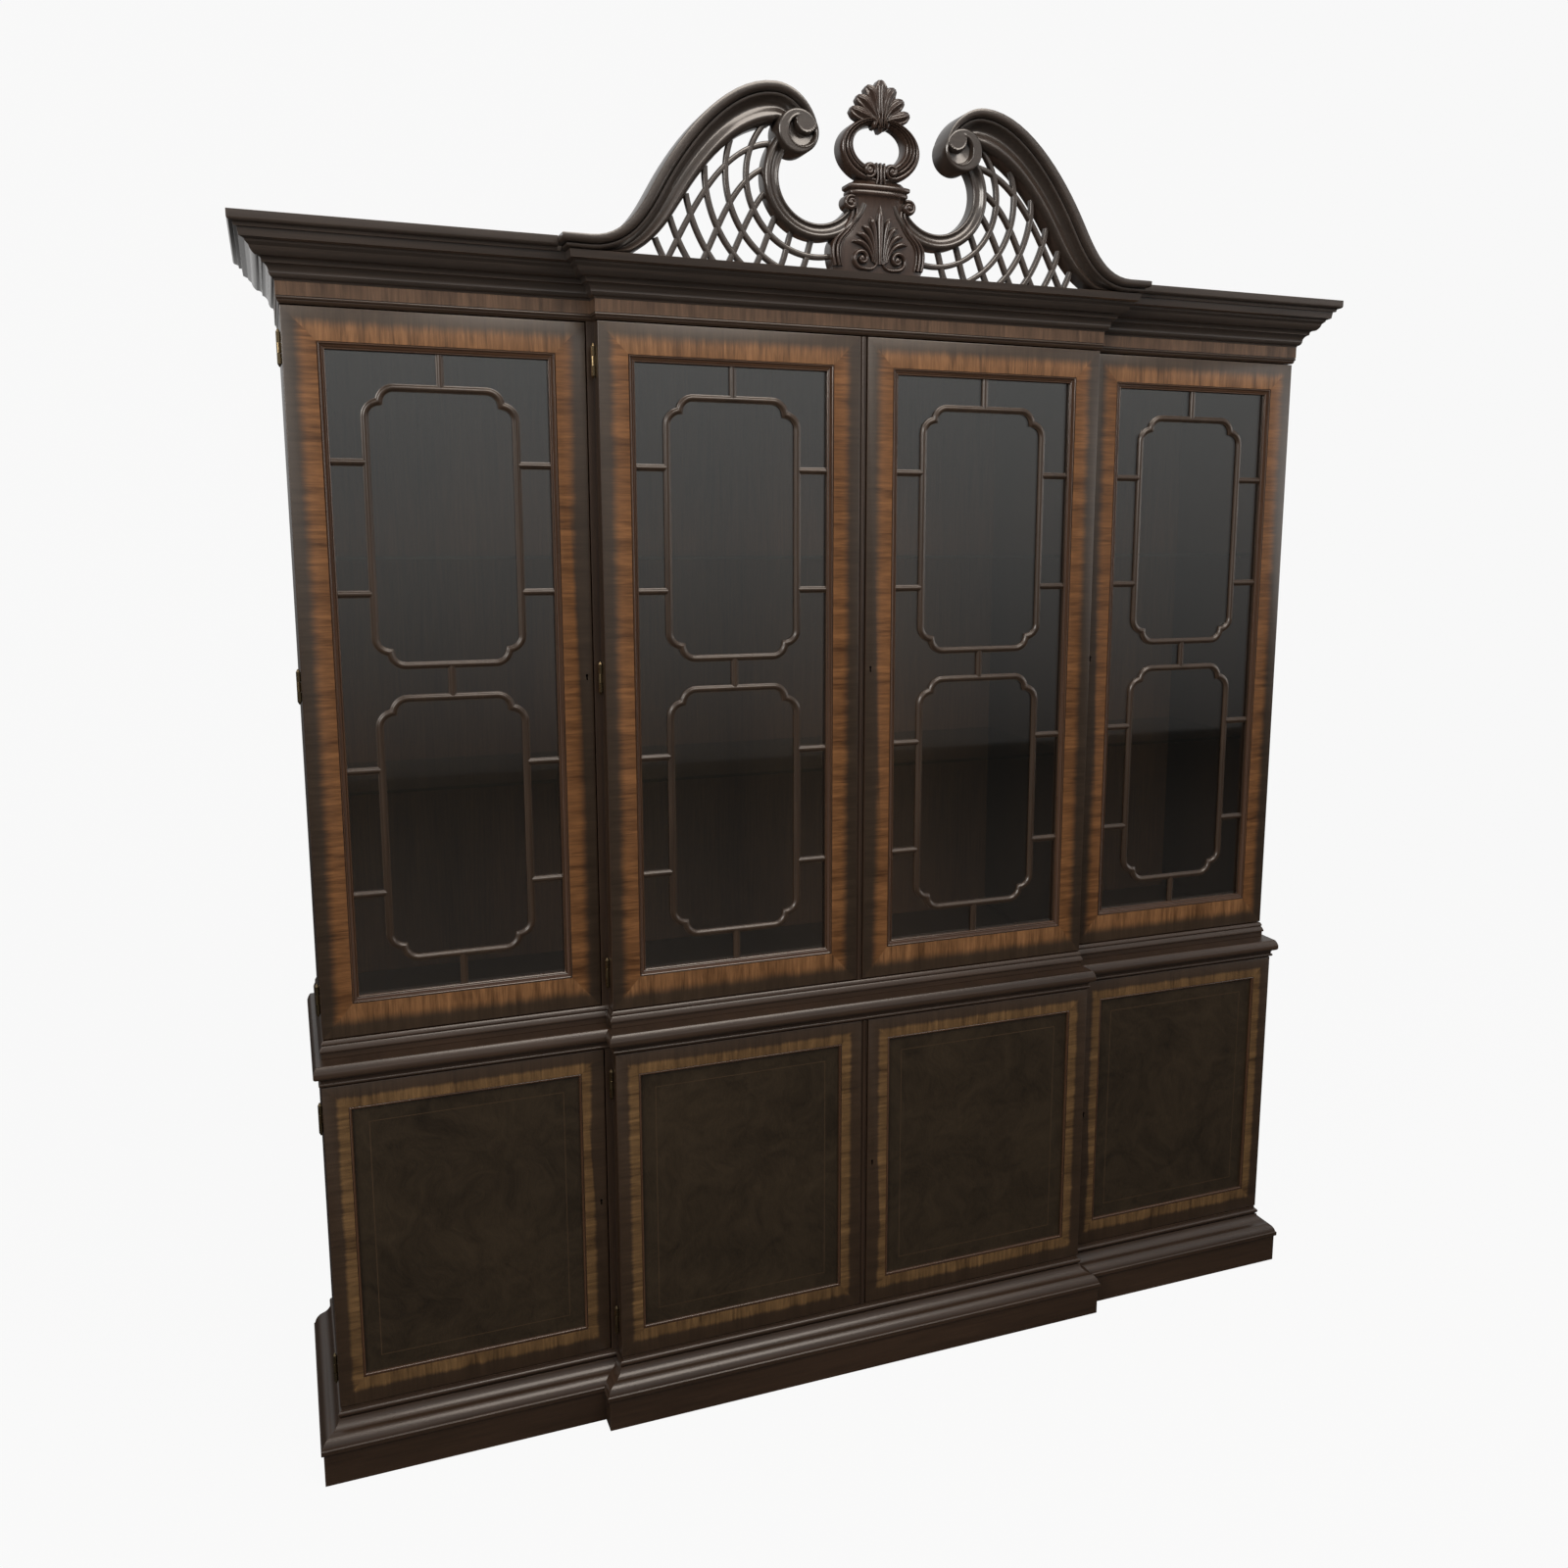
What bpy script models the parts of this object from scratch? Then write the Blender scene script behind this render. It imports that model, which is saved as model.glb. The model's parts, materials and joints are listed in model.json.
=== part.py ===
"""Breakfront china cabinet with a pierced swan-neck pediment.

A glazed deck stands on a cupboard base. The middle bay of both steps forward.
Metres, +Z up, +X to the viewer's right, front towards -Y, origin under the middle of the case.
Inside the script, y is measured from the front face of the deck's wing doors.
"""
import math
from types import SimpleNamespace

import bmesh
import bpy
from mathutils import Matrix, Vector
from mathutils.geometry import interpolate_bezier

# Clearances and overruns
seat_gap = 0.0003
run_gap = 0.0003
cut_over = 0.004
sink = 0.0006

# Case
deck_width = 2.000
deck_bay_width = 0.998
base_overhang = 0.007
bay_overhang = 0.004
base_reach = 0.032
break_step = 0.038
case_depth = 0.369
board = 0.019
back_panel = 0.008
strip_width = 0.012
strip_depth = 0.045

# Heights, from the floor up
plinth_height = 0.124
base_door_height = 0.607
base_top_height = 0.039
deck_base_height = 0.032
deck_door_height = 1.2315
frieze_height = 0.0335
crown_height = 0.092
door_gap = 0.002

# Mouldings: how far each stands out from the door faces
plinth_reach = 0.0325
plinth_lip = 0.004
plinth_fascia = 0.062
plinth_lip_height = 0.009
plinth_slope = 0.036
plinth_bead = 0.0035
plinth_thickness = 0.020
ledge_width = 0.012
ledge_height = 0.016
nosing_reach = 0.0125
deck_bead_reach = 0.0120
frieze_reach = 0.0050
frieze_bead = 0.0015
frieze_bead_height = 0.012
crown_reach = 0.0685
crown_wall = 0.012

# Doors
door_thickness = 0.022
edge_round = 0.0012
deck_stile = 0.052
deck_top_rail = 0.053
deck_bottom_rail = 0.059
deck_moulding = 0.012
base_stile = 0.042
base_top_rail = 0.042
base_bottom_rail = 0.050
base_moulding = 0.005
quirk = 0.0015
groove_depth = 0.007
groove_front = 0.0117
panel_front = 0.0060
glass_thickness = 0.003
panel_thickness = 0.006
meeting_gap = 0.002
astragal_width = 0.012
astragal_bead = 0.0035
astragal_setback = 0.002

# Fret over each pane
fret_width = 0.0125
fret_depth = 0.0060
fret_shoulder = 0.0030
fret_margin = 0.0565
fret_corner = 0.0235
fret_corner_sweep = 75.0
fret_bar_shares = (0.265, 0.735)

# Butt hinges
hinge_gap = 0.003
hinge_length = 0.050
hinge_radius = 0.0035
hinge_pin = 0.0013
hinge_clear = 0.0005
hinge_inset = 0.065
hinge_tip = 0.005
hinge_tip_radius = 0.0010
leaf_thickness = 0.0012
leaf_width = 0.014

# Locks
lock_width = 0.030
lock_height = 0.040
lock_depth = 0.0105
lock_wall = 0.003
bolt_length = 0.015
bolt_height = 0.012
bolt_depth = 0.0046
bolt_throw = 0.008
keyhole_inset = 0.011
keyhole_radius = 0.0024
keyhole_slit = 0.0026
keyhole_drop = 0.009
mortise_depth = 0.010
strike_width = 0.017

# Shelves
glass_shelf = 0.006
wood_shelf = 0.016
deck_shelf_shares = (0.34, 0.67)
base_shelf_share = 0.50
peg_radius = 0.003
peg_length = 0.010
peg_inset = 0.050
cleat_width = 0.014
cleat_height = 0.016
shelf_setback = 0.010

# Pediment
pediment_rise = 0.2735
neck_depth = 0.060
neck_width = 0.074
neck_fillet = 0.0120
neck_fillet_step = 0.0085
neck_bead = 0.0060
neck_quirk = 0.0015
neck_cove = 0.030
volute_radius = 0.037
volute_x = 0.158
volute_drop = 0.075
volute_groove = 0.0045
bow_x = 0.116
bow_z = 0.1255
bow_radius = 0.101
bow_width = 0.029
bow_front = 0.016
bow_depth = 0.032
lattice_bar = 0.0085
lattice_depth = 0.010
lattice_front = 0.031
lattice_first = 0.127
lattice_pitch = 0.037
lattice_rim = 0.0032
lattice_foot_inner = 0.140
lattice_foot_outer = 0.384
finial_height = 0.3255
finial_front = 0.008
finial_depth = 0.044

# Positions that follow from the sizes above
front_reach = break_step + crown_reach
face_y = front_reach - (case_depth + front_reach) / 2
base_door_z = plinth_height + door_gap
base_top_z = base_door_z + base_door_height + door_gap
deck_base_z = base_top_z + base_top_height + seat_gap
deck_door_z = deck_base_z + deck_base_height + door_gap
frieze_z = deck_door_z + deck_door_height + door_gap
crown_z = frieze_z + frieze_height + seat_gap
crown_top = crown_z + crown_height

# Crown section as (reach share, height share), with the curves filled in between
crown_rail_share = 0.75
crown_fascia_share = 0.80
crown_bead_share = 0.873

parts = bpy.data.collections.new("china_cabinet")
cutters = bpy.data.collections.new("cutters")


def clear_scene():
    for thing in list(bpy.data.objects):
        bpy.data.objects.remove(thing, do_unlink=True)
    bpy.context.scene.collection.children.link(parts)
    bpy.context.scene.collection.children.link(cutters)


def material(name, colour, roughness, metallic=0.0, transmission=0.0):
    mat = bpy.data.materials.new(name)
    mat.use_nodes = True
    shader = mat.node_tree.nodes["Principled BSDF"]
    shader.inputs["Base Color"].default_value = (*colour, 1.0)
    shader.inputs["Roughness"].default_value = roughness
    shader.inputs["Metallic"].default_value = metallic
    shader.inputs["Transmission Weight"].default_value = transmission
    return mat


clear_scene()
mahogany = material("mahogany", (0.045, 0.022, 0.014), 0.38)
satinwood = material("satinwood", (0.24, 0.11, 0.035), 0.36)
inner_wood = material("inner_wood", (0.085, 0.040, 0.020), 0.50)
clear_glass = material("glass", (0.75, 0.78, 0.76), 0.03, transmission=0.9)
brass = material("brass", (0.50, 0.36, 0.16), 0.35, metallic=1.0)
steel = material("steel", (0.35, 0.33, 0.30), 0.40, metallic=1.0)


def empty(name, place, parent=None):
    marker = bpy.data.objects.new(name, None)
    marker.empty_display_size = board
    marker.location = place
    marker.parent = parent
    parts.objects.link(marker)
    return marker


case_frame = empty("case_frame", (0, face_y, 0))


def add(name, shape, mat, anchor=case_frame, collection=parts):
    """Make a named object from a bmesh drawn in case coordinates."""
    bmesh.ops.recalc_face_normals(shape, faces=shape.faces[:])
    mesh = bpy.data.meshes.new(name)
    shape.to_mesh(mesh)
    shape.free()
    if anchor is not case_frame:
        mesh.transform(Matrix.Translation(-anchor.location))
    mesh.materials.append(mat)
    made = bpy.data.objects.new(name, mesh)
    made.parent = anchor
    collection.objects.link(made)
    return made


def combine(target, tool, operation):
    """Join, cut or trim the target with a hidden tool body."""
    step = target.modifiers.new(operation.lower(), "BOOLEAN")
    step.operation = operation
    step.object = tool
    step.use_self = True
    step.material_mode = "TRANSFER"
    tool.hide_render = True
    tool.display_type = "WIRE"


def box(shape, x0, x1, y0, y1, z0, z1):
    centre = Vector(((x0 + x1) / 2, (y0 + y1) / 2, (z0 + z1) / 2))
    size = Vector((abs(x1 - x0), abs(y1 - y0), abs(z1 - z0)))
    bmesh.ops.create_cube(shape, size=1, matrix=Matrix.LocRotScale(centre, None, size))


def rod(shape, start, end, radius, end_radius=None, sides=8):
    """A round bar or cone between two points."""
    start, end = Vector(start), Vector(end)
    span = end - start
    turn = span.to_track_quat("Z", "Y").to_matrix().to_4x4()
    bmesh.ops.create_cone(
        shape, cap_ends=True, segments=sides, radius1=radius,
        radius2=radius if end_radius is None else end_radius, depth=span.length,
        matrix=Matrix.Translation((start + end) / 2) @ turn)


def loft(shape, loops, closed=False):
    """Skin a row of point loops; an open row is capped at both ends."""
    rings = [[shape.verts.new(point) for point in loop] for loop in loops]
    pairs = list(zip(rings, rings[1:]))
    if closed:
        pairs.append((rings[-1], rings[0]))
    for low, high in pairs:
        for i in range(len(low)):
            j = (i + 1) % len(low)
            shape.faces.new((low[i], low[j], high[j], high[i]))
    if not closed:
        shape.faces.new(rings[0])
        shape.faces.new(rings[-1])


def extrude(shape, outline, along):
    """A flat outline pulled out into a solid."""
    face = shape.faces.new([shape.verts.new(point) for point in outline])
    pulled = bmesh.ops.extrude_face_region(shape, geom=[face])["geom"]
    verts = [item for item in pulled if isinstance(item, bmesh.types.BMVert)]
    bmesh.ops.translate(shape, verts=verts, vec=along)


def prism(shape, outline, y0, y1):
    """Extrude an outline of (x, z) points from y0 to y1."""
    extrude(shape, [(x, y0, z) for x, z in outline], (0, y1 - y0, 0))


def column(shape, outline, z0, z1):
    """Extrude an outline of (x, y) points from z0 to z1."""
    extrude(shape, [(x, y, z0) for x, y in outline], (0, 0, z1 - z0))


def s_curve(start, end, steps=5, bulge_share=0.10):
    """An ogee between two section points, both included."""
    start, end = Vector(start), Vector(end)
    chord = end - start
    across = Vector((-chord.y, chord.x))
    points = []
    for i in range(steps + 1):
        t = i / steps
        points.append(tuple(start + chord * t + across * bulge_share * math.sin(math.tau * t)))
    return points


def half_bead(inner, low, high, reach, steps=4):
    """A half-round bead between two heights, standing out from the inner line."""
    middle, half = (low + high) / 2, (high - low) / 2
    points = []
    for i in range(steps + 1):
        angle = math.pi * i / steps
        points.append((inner + reach * math.sin(angle), middle - half * math.cos(angle)))
    return points


def tier(half, bay, face, low, high):
    return SimpleNamespace(half=half, bay=bay, face=face, low=low, high=high)


deck = tier(deck_width / 2, deck_bay_width / 2, 0, deck_base_z + deck_base_height, frieze_z)
base = tier(deck.half + base_overhang, deck.bay + bay_overhang, -base_reach,
            plinth_height, base_top_z)


def plan(level, reach, inset=0):
    """The breakfront outline, offset outwards, with the back edge set in."""
    side, bay = level.half + reach, level.bay + reach
    wing_y, back = level.face - reach, case_depth - inset
    bay_y = wing_y - break_step
    return [(-side, back), (-side, wing_y), (-bay, wing_y), (-bay, bay_y),
            (bay, bay_y), (bay, wing_y), (side, wing_y), (side, back)]


def moulded(name, level, section, mat, closed=False):
    """Run a section of (reach, height[, back inset]) round the breakfront outline."""
    shape = bmesh.new()
    loops = []
    for reach, height, *inset in section:
        loops.append([(x, y, height) for x, y in plan(level, reach, *inset)])
    loft(shape, loops, closed)
    return add(name, shape, mat)


def build_plinth():
    lip = plinth_reach + plinth_lip
    slope_z = plinth_fascia + plinth_lip_height
    bead_z = slope_z + plinth_slope
    ledge_top = plinth_height - board - seat_gap
    outer = [(plinth_reach, 0), (plinth_reach, plinth_fascia), (lip, plinth_fascia + quirk),
             *s_curve((lip, slope_z), (0, bead_z)),
             *half_bead(0, bead_z + quirk, plinth_height, plinth_bead)]
    inner = [(-board, plinth_height, board), (-board, ledge_top, board),
             (-board - ledge_width, ledge_top, board + ledge_width),
             (-board - ledge_width, ledge_top - ledge_height, board + ledge_width),
             (plinth_reach - plinth_thickness, ledge_top - ledge_height, board),
             (plinth_reach - plinth_thickness, 0, board)]
    moulded("plinth", base, outer + inner, mahogany, closed=True)


def build_base_boards():
    shape = bmesh.new()
    column(shape, plan(base, -board - seat_gap, board + seat_gap),
           plinth_height - board, plinth_height)
    add("base_bottom", shape, inner_wood)
    bead_high = base_top_z + base_top_height / 3
    nosing_z = base_top_z + base_top_height * 0.62
    section = [(0, base_top_z), *half_bead(nosing_reach / 5, base_top_z + quirk, bead_high, plinth_bead),
               *s_curve((nosing_reach / 5, bead_high + quirk), (nosing_reach, nosing_z), 4),
               (nosing_reach, nosing_z + quirk * 2),
               (nosing_reach / 2, nosing_z + quirk * 3),
               *s_curve((nosing_reach / 3, nosing_z + quirk * 4), (0, base_top_z + base_top_height), 3)]
    moulded("base_top", base, section, mahogany)


def build_deck_base():
    fascia = deck_bead_reach / 2
    low = deck_base_z + deck_base_height * 0.38
    middle = deck_base_z + deck_base_height * 0.70
    top = deck_base_z + deck_base_height
    section = [(fascia, deck_base_z), (fascia, low - quirk),
               *half_bead(fascia, low, middle - quirk, deck_bead_reach - fascia),
               *half_bead(fascia - quirk, middle, top - quirk, fascia - quirk, 3), (0, top)]
    moulded("deck_base", deck, section, mahogany)


def build_frieze():
    bead_top = frieze_z + frieze_bead_height
    face = frieze_reach
    section = [(0, frieze_z), *half_bead(face - quirk, frieze_z + quirk, bead_top, frieze_bead + quirk),
               (face, bead_top), (face, crown_z - seat_gap),
               (-board, crown_z - seat_gap, board), (-board, frieze_z, board)]
    moulded("frieze", deck, section, satinwood, closed=True)
    shape = bmesh.new()
    column(shape, plan(deck, -board - seat_gap, board + seat_gap), frieze_z, frieze_z + board)
    add("deck_top", shape, inner_wood)


def crown_section():
    def at(reach_share, height_share):
        return (crown_reach * reach_share, crown_z + crown_height * height_share)

    return [at(0.080, 0), *s_curve(at(0.095, 0.04), at(0.320, 0.275)),
            at(0.350, 0.290), at(0.350, 0.335), *s_curve(at(0.375, 0.345), at(0.650, 0.570)),
            at(0.690, 0.580), at(0.690, 0.620), at(0.780, 0.635), at(0.795, crown_rail_share),
            at(0.870, 0.760), at(0.875, crown_fascia_share), at(0.955, 0.835),
            at(1.000, crown_bead_share), at(1.000, 1.000)]


def build_crown():
    wall = [(-crown_wall, crown_top, crown_wall), (-crown_wall, crown_z, crown_wall)]
    crown = moulded("cornice", deck, crown_section() + wall, mahogany, closed=True)
    shape = bmesh.new()
    reach = deck.bay + crown_reach + seat_gap
    box(shape, -reach, reach, -front_reach - cut_over, -break_step + crown_wall + cut_over,
        pediment_z() - seat_gap, crown_top + cut_over)
    combine(crown, add("crown_cut", shape, mahogany, collection=cutters), "DIFFERENCE")


def pediment_z():
    return crown_z + crown_height * crown_rail_share + seat_gap


def support_pegs(shape, x, inward, y0, y1, z):
    for y in (y0 + peg_inset, y1 - peg_inset):
        rod(shape, (x - inward * sink, y, z), (x + inward * peg_length, y, z), peg_radius, sides=6)


def shelf_heights(level):
    """Underside heights of the shelves in one tier."""
    if level is deck:
        return [level.low + (level.high - level.low) * share for share in deck_shelf_shares]
    return [level.low + (level.high - level.low) * base_shelf_share]


def shelf_y(level, wing):
    """Front and back of a shelf."""
    front = level.face + (strip_depth if wing else door_thickness + hinge_gap - break_step)
    return front + shelf_setback, case_depth - back_panel - seat_gap


def supports(shape, level, x, inward, wing):
    """What carries the shelves on one upright face: pegs for glass, cleats for wood."""
    y0, y1 = shelf_y(level, wing)
    for z in shelf_heights(level):
        if level is deck:
            support_pegs(shape, x, inward, y0, y1, z - peg_radius - seat_gap)
        else:
            box(shape, x - inward * sink, x + inward * cleat_width, y0 + shelf_setback,
                y1 - shelf_setback, z - cleat_height - seat_gap, z - seat_gap)


def hinge_heights(level):
    low, high = level.low + door_gap + hinge_inset, level.high - door_gap - hinge_inset
    return (low, (low + high) / 2, high) if level is deck else (low, high)


def hinge_axis(edge, side, face):
    """Where a hinge's pin stands, for a door edge that faces the given side."""
    x = edge + side * (hinge_radius + hinge_clear)
    return x, face + door_thickness + hinge_gap / 2


def turned(shape, x, y, profile, sides=6):
    """Spin a profile of (height, radius) pairs about an upright axis."""
    earlier = set(shape.verts)
    ends = (profile[0][0], 0), (profile[-1][0], 0)
    verts = [shape.verts.new((x + radius, y, z)) for z, radius in (ends[0], *profile, ends[1])]
    edges = [shape.edges.new(pair) for pair in zip(verts, verts[1:])]
    bmesh.ops.spin(shape, geom=verts + edges, cent=(x, y, 0), axis=(0, 0, 1), angle=math.tau,
                   steps=sides, use_merge=True)
    spun = [vert for vert in shape.verts if vert not in earlier]
    bmesh.ops.remove_doubles(shape, verts=spun, dist=seat_gap / 100)


def fixed_hinges(shape, level, edge, side, face):
    """Fixed leaves, end knuckles, pins and tips of one door's hinges."""
    x, y = hinge_axis(edge, side, face)
    leaf_back = face + door_thickness + hinge_gap
    half, near = hinge_length / 2, hinge_length / 6 + run_gap
    for z in hinge_heights(level):
        box(shape, edge, edge - side * leaf_width, leaf_back - leaf_thickness, leaf_back + sink,
            z - half, z + half)
        turned(shape, x, y, ((z - half - hinge_tip, hinge_tip_radius), (z - half, hinge_radius),
                             (z - near, hinge_radius), (z - near, hinge_pin),
                             (z + near, hinge_pin), (z + near, hinge_radius),
                             (z + half, hinge_radius), (z + half + hinge_tip, hinge_tip_radius)))
        for end in (-1, 1):
            box(shape, x, edge - side * sink, leaf_back - leaf_thickness, leaf_back,
                z + end * (near + sink), z + end * (half - sink))


def moving_hinges(shape, bores, level, edge, side, face):
    """Moving leaves and middle knuckles of one door's hinges, and their bores."""
    x, y = hinge_axis(edge, side, face)
    leaf_front = face + door_thickness
    half = hinge_length / 6
    for z in hinge_heights(level):
        box(shape, edge, edge - side * leaf_width, leaf_front - sink, leaf_front + leaf_thickness,
            z - hinge_length / 2, z + hinge_length / 2)
        box(shape, x, edge - side * sink, leaf_front, leaf_front + leaf_thickness,
            z - half + sink, z + half - sink)
        turned(shape, x, y, ((z - half, hinge_radius), (z + half, hinge_radius)))
        turned(bores, x, y, ((z - hinge_length, hinge_pin + run_gap),
                             (z + hinge_length, hinge_pin + run_gap)))


def lock_y(face):
    """Front and back of the bolt inside a lock case."""
    front = face + door_thickness + lock_wall + run_gap
    return front, front + bolt_depth


def build_side(level, word, side):
    """An end panel of one tier with its wing door's fixed hinges and shelf supports."""
    shape = bmesh.new()
    outer, inner = side * level.half, side * (level.half - board)
    box(shape, outer, inner, level.face + door_thickness + hinge_gap, case_depth,
        level.low + seat_gap, level.high - seat_gap)
    name = f"{tier_name(level)}_side_{word}"
    panel = add(name, shape, mahogany)
    hardware = bmesh.new()
    fixed_hinges(hardware, level, outer, side, level.face)
    combine(panel, add(name + "_hinges", hardware, brass, collection=cutters), "UNION")
    carried = bmesh.new()
    supports(carried, level, inner, -side, True)
    combine(panel, add(name + "_supports", carried, brass if level is deck else inner_wood,
                       collection=cutters), "UNION")


def build_partition(level, word, side):
    """The upright between a wing and the middle bay, with the dark strip beside the wing door."""
    bay, inner = side * level.bay, side * (level.bay - board)
    strip = side * (level.bay + strip_width)
    front = level.face - break_step + door_thickness + hinge_gap
    back = case_depth - back_panel - seat_gap
    shape = bmesh.new()
    column(shape, [(inner, front), (bay, front), (bay, level.face), (strip, level.face),
                   (strip, level.face + strip_depth), (bay, level.face + strip_depth),
                   (bay, back), (inner, back)], level.low + seat_gap, level.high - seat_gap)
    name = f"{tier_name(level)}_partition_{word}"
    panel = add(name, shape, mahogany)
    hardware = bmesh.new()
    fixed_hinges(hardware, level, bay, side, level.face - break_step)
    combine(panel, add(name + "_hinges", hardware, brass, collection=cutters), "UNION")
    carried = bmesh.new()
    supports(carried, level, bay, side, True)
    supports(carried, level, inner, -side, False)
    combine(panel, add(name + "_supports", carried, brass if level is deck else inner_wood,
                       collection=cutters), "UNION")
    y0, y1 = lock_y(level.face)
    middle = (level.low + level.high) / 2
    pocket = bmesh.new()
    box(pocket, strip + side * cut_over, strip - side * mortise_depth, y0 - run_gap, y1 + run_gap,
        middle - bolt_height / 2 - run_gap, middle + bolt_height / 2 + run_gap)
    combine(panel, add(name + "_mortise", pocket, mahogany, collection=cutters), "DIFFERENCE")


def tier_name(level):
    return "deck" if level is deck else "base"


def build_back(level):
    shape = bmesh.new()
    half = level.half - board - seat_gap
    box(shape, -half, half, case_depth - back_panel, case_depth,
        level.low + seat_gap, level.high - seat_gap)
    add(f"{tier_name(level)}_back", shape, inner_wood)


def build_shelves(level):
    """One shelf in each bay at each height."""
    thickness = glass_shelf if level is deck else wood_shelf
    mat = clear_glass if level is deck else inner_wood
    bays = (("left", -level.half + board, -level.bay, True),
            ("centre", -level.bay + board, level.bay - board, False),
            ("right", level.bay, level.half - board, True))
    for number, z in enumerate(shelf_heights(level), 1):
        for word, x0, x1, wing in bays:
            y0, y1 = shelf_y(level, wing)
            shape = bmesh.new()
            box(shape, x0 + seat_gap, x1 - seat_gap, y0, y1, z, z + thickness)
            suffix = f"_{number}" if level is deck else ""
            add(f"{tier_name(level)}_shelf_{word}{suffix}", shape, mat)


def frame_section(moulding, front, thickness):
    """Door frame section: (on sight edge, distance, depth), from the front round to the back."""
    groove_back = front + thickness + 2 * run_gap
    bead_low, bead_high = moulding * 0.60, moulding * 0.92
    points = [(False, 0, edge_round), (False, edge_round, 0), (True, moulding, 0),
              (True, moulding, quirk), (True, bead_high, quirk / 5), (True, bead_low, quirk / 5)]
    if front > panel_front:
        points += [(True, moulding * 0.52, quirk), (True, moulding * 0.25, quirk * 1.9)]
    points += [(True, 0, quirk * (3 if front > panel_front else 1.5)), (True, 0, front - run_gap),
               (True, groove_depth, front - run_gap), (True, groove_depth, groove_back),
               (True, 0, groove_back), (True, 0, door_thickness), (False, 0, door_thickness)]
    return points


def door_frame_shape(x0, x1, level, face):
    """A mitred frame; returns the shape and its sight opening."""
    z0, z1 = level.low + door_gap, level.high - door_gap
    if level is deck:
        stile, top, bottom, moulding = deck_stile, deck_top_rail, deck_bottom_rail, deck_moulding
        front, thickness = groove_front, glass_thickness
    else:
        stile, top, bottom, moulding = base_stile, base_top_rail, base_bottom_rail, base_moulding
        front, thickness = panel_front, panel_thickness
    sight = (x0 + stile + moulding, x1 - stile - moulding,
             z0 + bottom + moulding, z1 - top - moulding)
    rows = []
    for on_sight, step, depth in frame_section(moulding, front, thickness):
        if on_sight:
            a, b, c, d = sight[0] - step, sight[1] + step, sight[2] - step, sight[3] + step
        else:
            a, b, c, d = x0 + step, x1 - step, z0 + step, z1 - step
        y = face + depth
        rows.append([(a, y, c), (b, y, c), (b, y, d), (a, y, d)])
    shape = bmesh.new()
    loft(shape, rows, closed=True)
    return shape, sight


def build_infill(name, sight, level, face, anchor):
    """The pane or panel that the frame's groove holds."""
    front, thickness = (groove_front, glass_thickness) if level is deck else (panel_front, panel_thickness)
    reach = groove_depth - run_gap
    shape = bmesh.new()
    box(shape, sight[0] - reach, sight[1] + reach, face + front, face + front + thickness,
        sight[2] - reach, sight[3] + reach)
    add(name, shape, clear_glass if level is deck else mahogany, anchor)


def figure_path(x0, x1, z0, z1, steps=2):
    """A tall frame whose corners are two arcs that meet in a cusp."""
    sweep = math.radians(fret_corner_sweep)
    near, far = fret_corner * (1 - math.cos(sweep)), fret_corner * math.sin(sweep)
    corner = []
    for i in range(steps + 1):
        angle = sweep * i / steps
        corner.append((fret_corner * (1 - math.cos(angle)), near + far - fret_corner * math.sin(angle)))
    for i in range(1, steps + 1):
        angle = sweep * (1 - i / steps)
        corner.append((near + far - fret_corner * math.sin(angle), fret_corner * (1 - math.cos(angle))))
    path = [(x0 + x, z0 + z) for x, z in corner]
    path += [(x1 - x, z0 + z) for x, z in reversed(corner)]
    path += [(x1 - x, z1 - z) for x, z in corner]
    path += [(x0 + x, z1 - z) for x, z in reversed(corner)]
    return path


def astragal_loops(path, back, closed):
    """Fret section at each point of a path of (x, z) points."""
    half = fret_width / 2
    section = [(-half, back), (-half, back - fret_shoulder), (0, back - fret_depth),
               (half, back - fret_shoulder), (half, back)]
    loops = []
    count = len(path)
    for i, point in enumerate(path):
        here = Vector(point)
        before = Vector(path[i - 1]) if closed or i else here
        after = Vector(path[(i + 1) % count]) if closed or i + 1 < count else here
        into, out = (here - before), (after - here)
        into = into.normalized() if into.length else out.normalized()
        out = out.normalized() if out.length else into
        across = Vector((-into.y - out.y, into.x + out.x)).normalized()
        across /= max(across.dot(Vector((-into.y, into.x))), 0.5)
        loops.append([(here.x + across.x * s, y, here.y + across.y * s) for s, y in section])
    return loops


def build_fret(name, sight, face, anchor):
    """Two cusped figures one above the other, tied to the frame and each other by bars."""
    back = face + groove_front - seat_gap
    x0, x1, z0, z1 = sight
    height = (z1 - z0 - 3 * fret_margin) / 2
    middle = (x0 + x1) / 2
    left, right = x0 + fret_margin, x1 - fret_margin
    shape = bmesh.new()
    bars = bmesh.new()
    for number in range(2):
        low = z0 + fret_margin + number * (height + fret_margin)
        loft(shape, astragal_loops(figure_path(left, right, low, low + height), back, True), True)
        for share in fret_bar_shares:
            z = low + height * share
            for start, end in ((x0 + seat_gap, left), (right, x1 - seat_gap)):
                loft(bars, astragal_loops([(start, z), (end, z)], back, False))
    for start, end in ((z0 + seat_gap, z0 + fret_margin),
                       (z0 + fret_margin + height, z0 + 2 * fret_margin + height),
                       (z1 - fret_margin, z1 - seat_gap)):
        loft(bars, astragal_loops([(middle, start), (middle, end)], back, False))
    fret = add(name, shape, mahogany, anchor)
    combine(fret, add(name + "_bars", bars, mahogany, anchor, cutters), "UNION")


def keyhole(shape, x, face, z):
    rod(shape, (x, face - cut_over, z), (x, face + door_thickness + lock_wall + cut_over, z),
        keyhole_radius, sides=6)
    box(shape, x - keyhole_slit / 2, x + keyhole_slit / 2, face - cut_over,
        face + door_thickness + lock_wall + cut_over, z - keyhole_drop, z)


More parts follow.
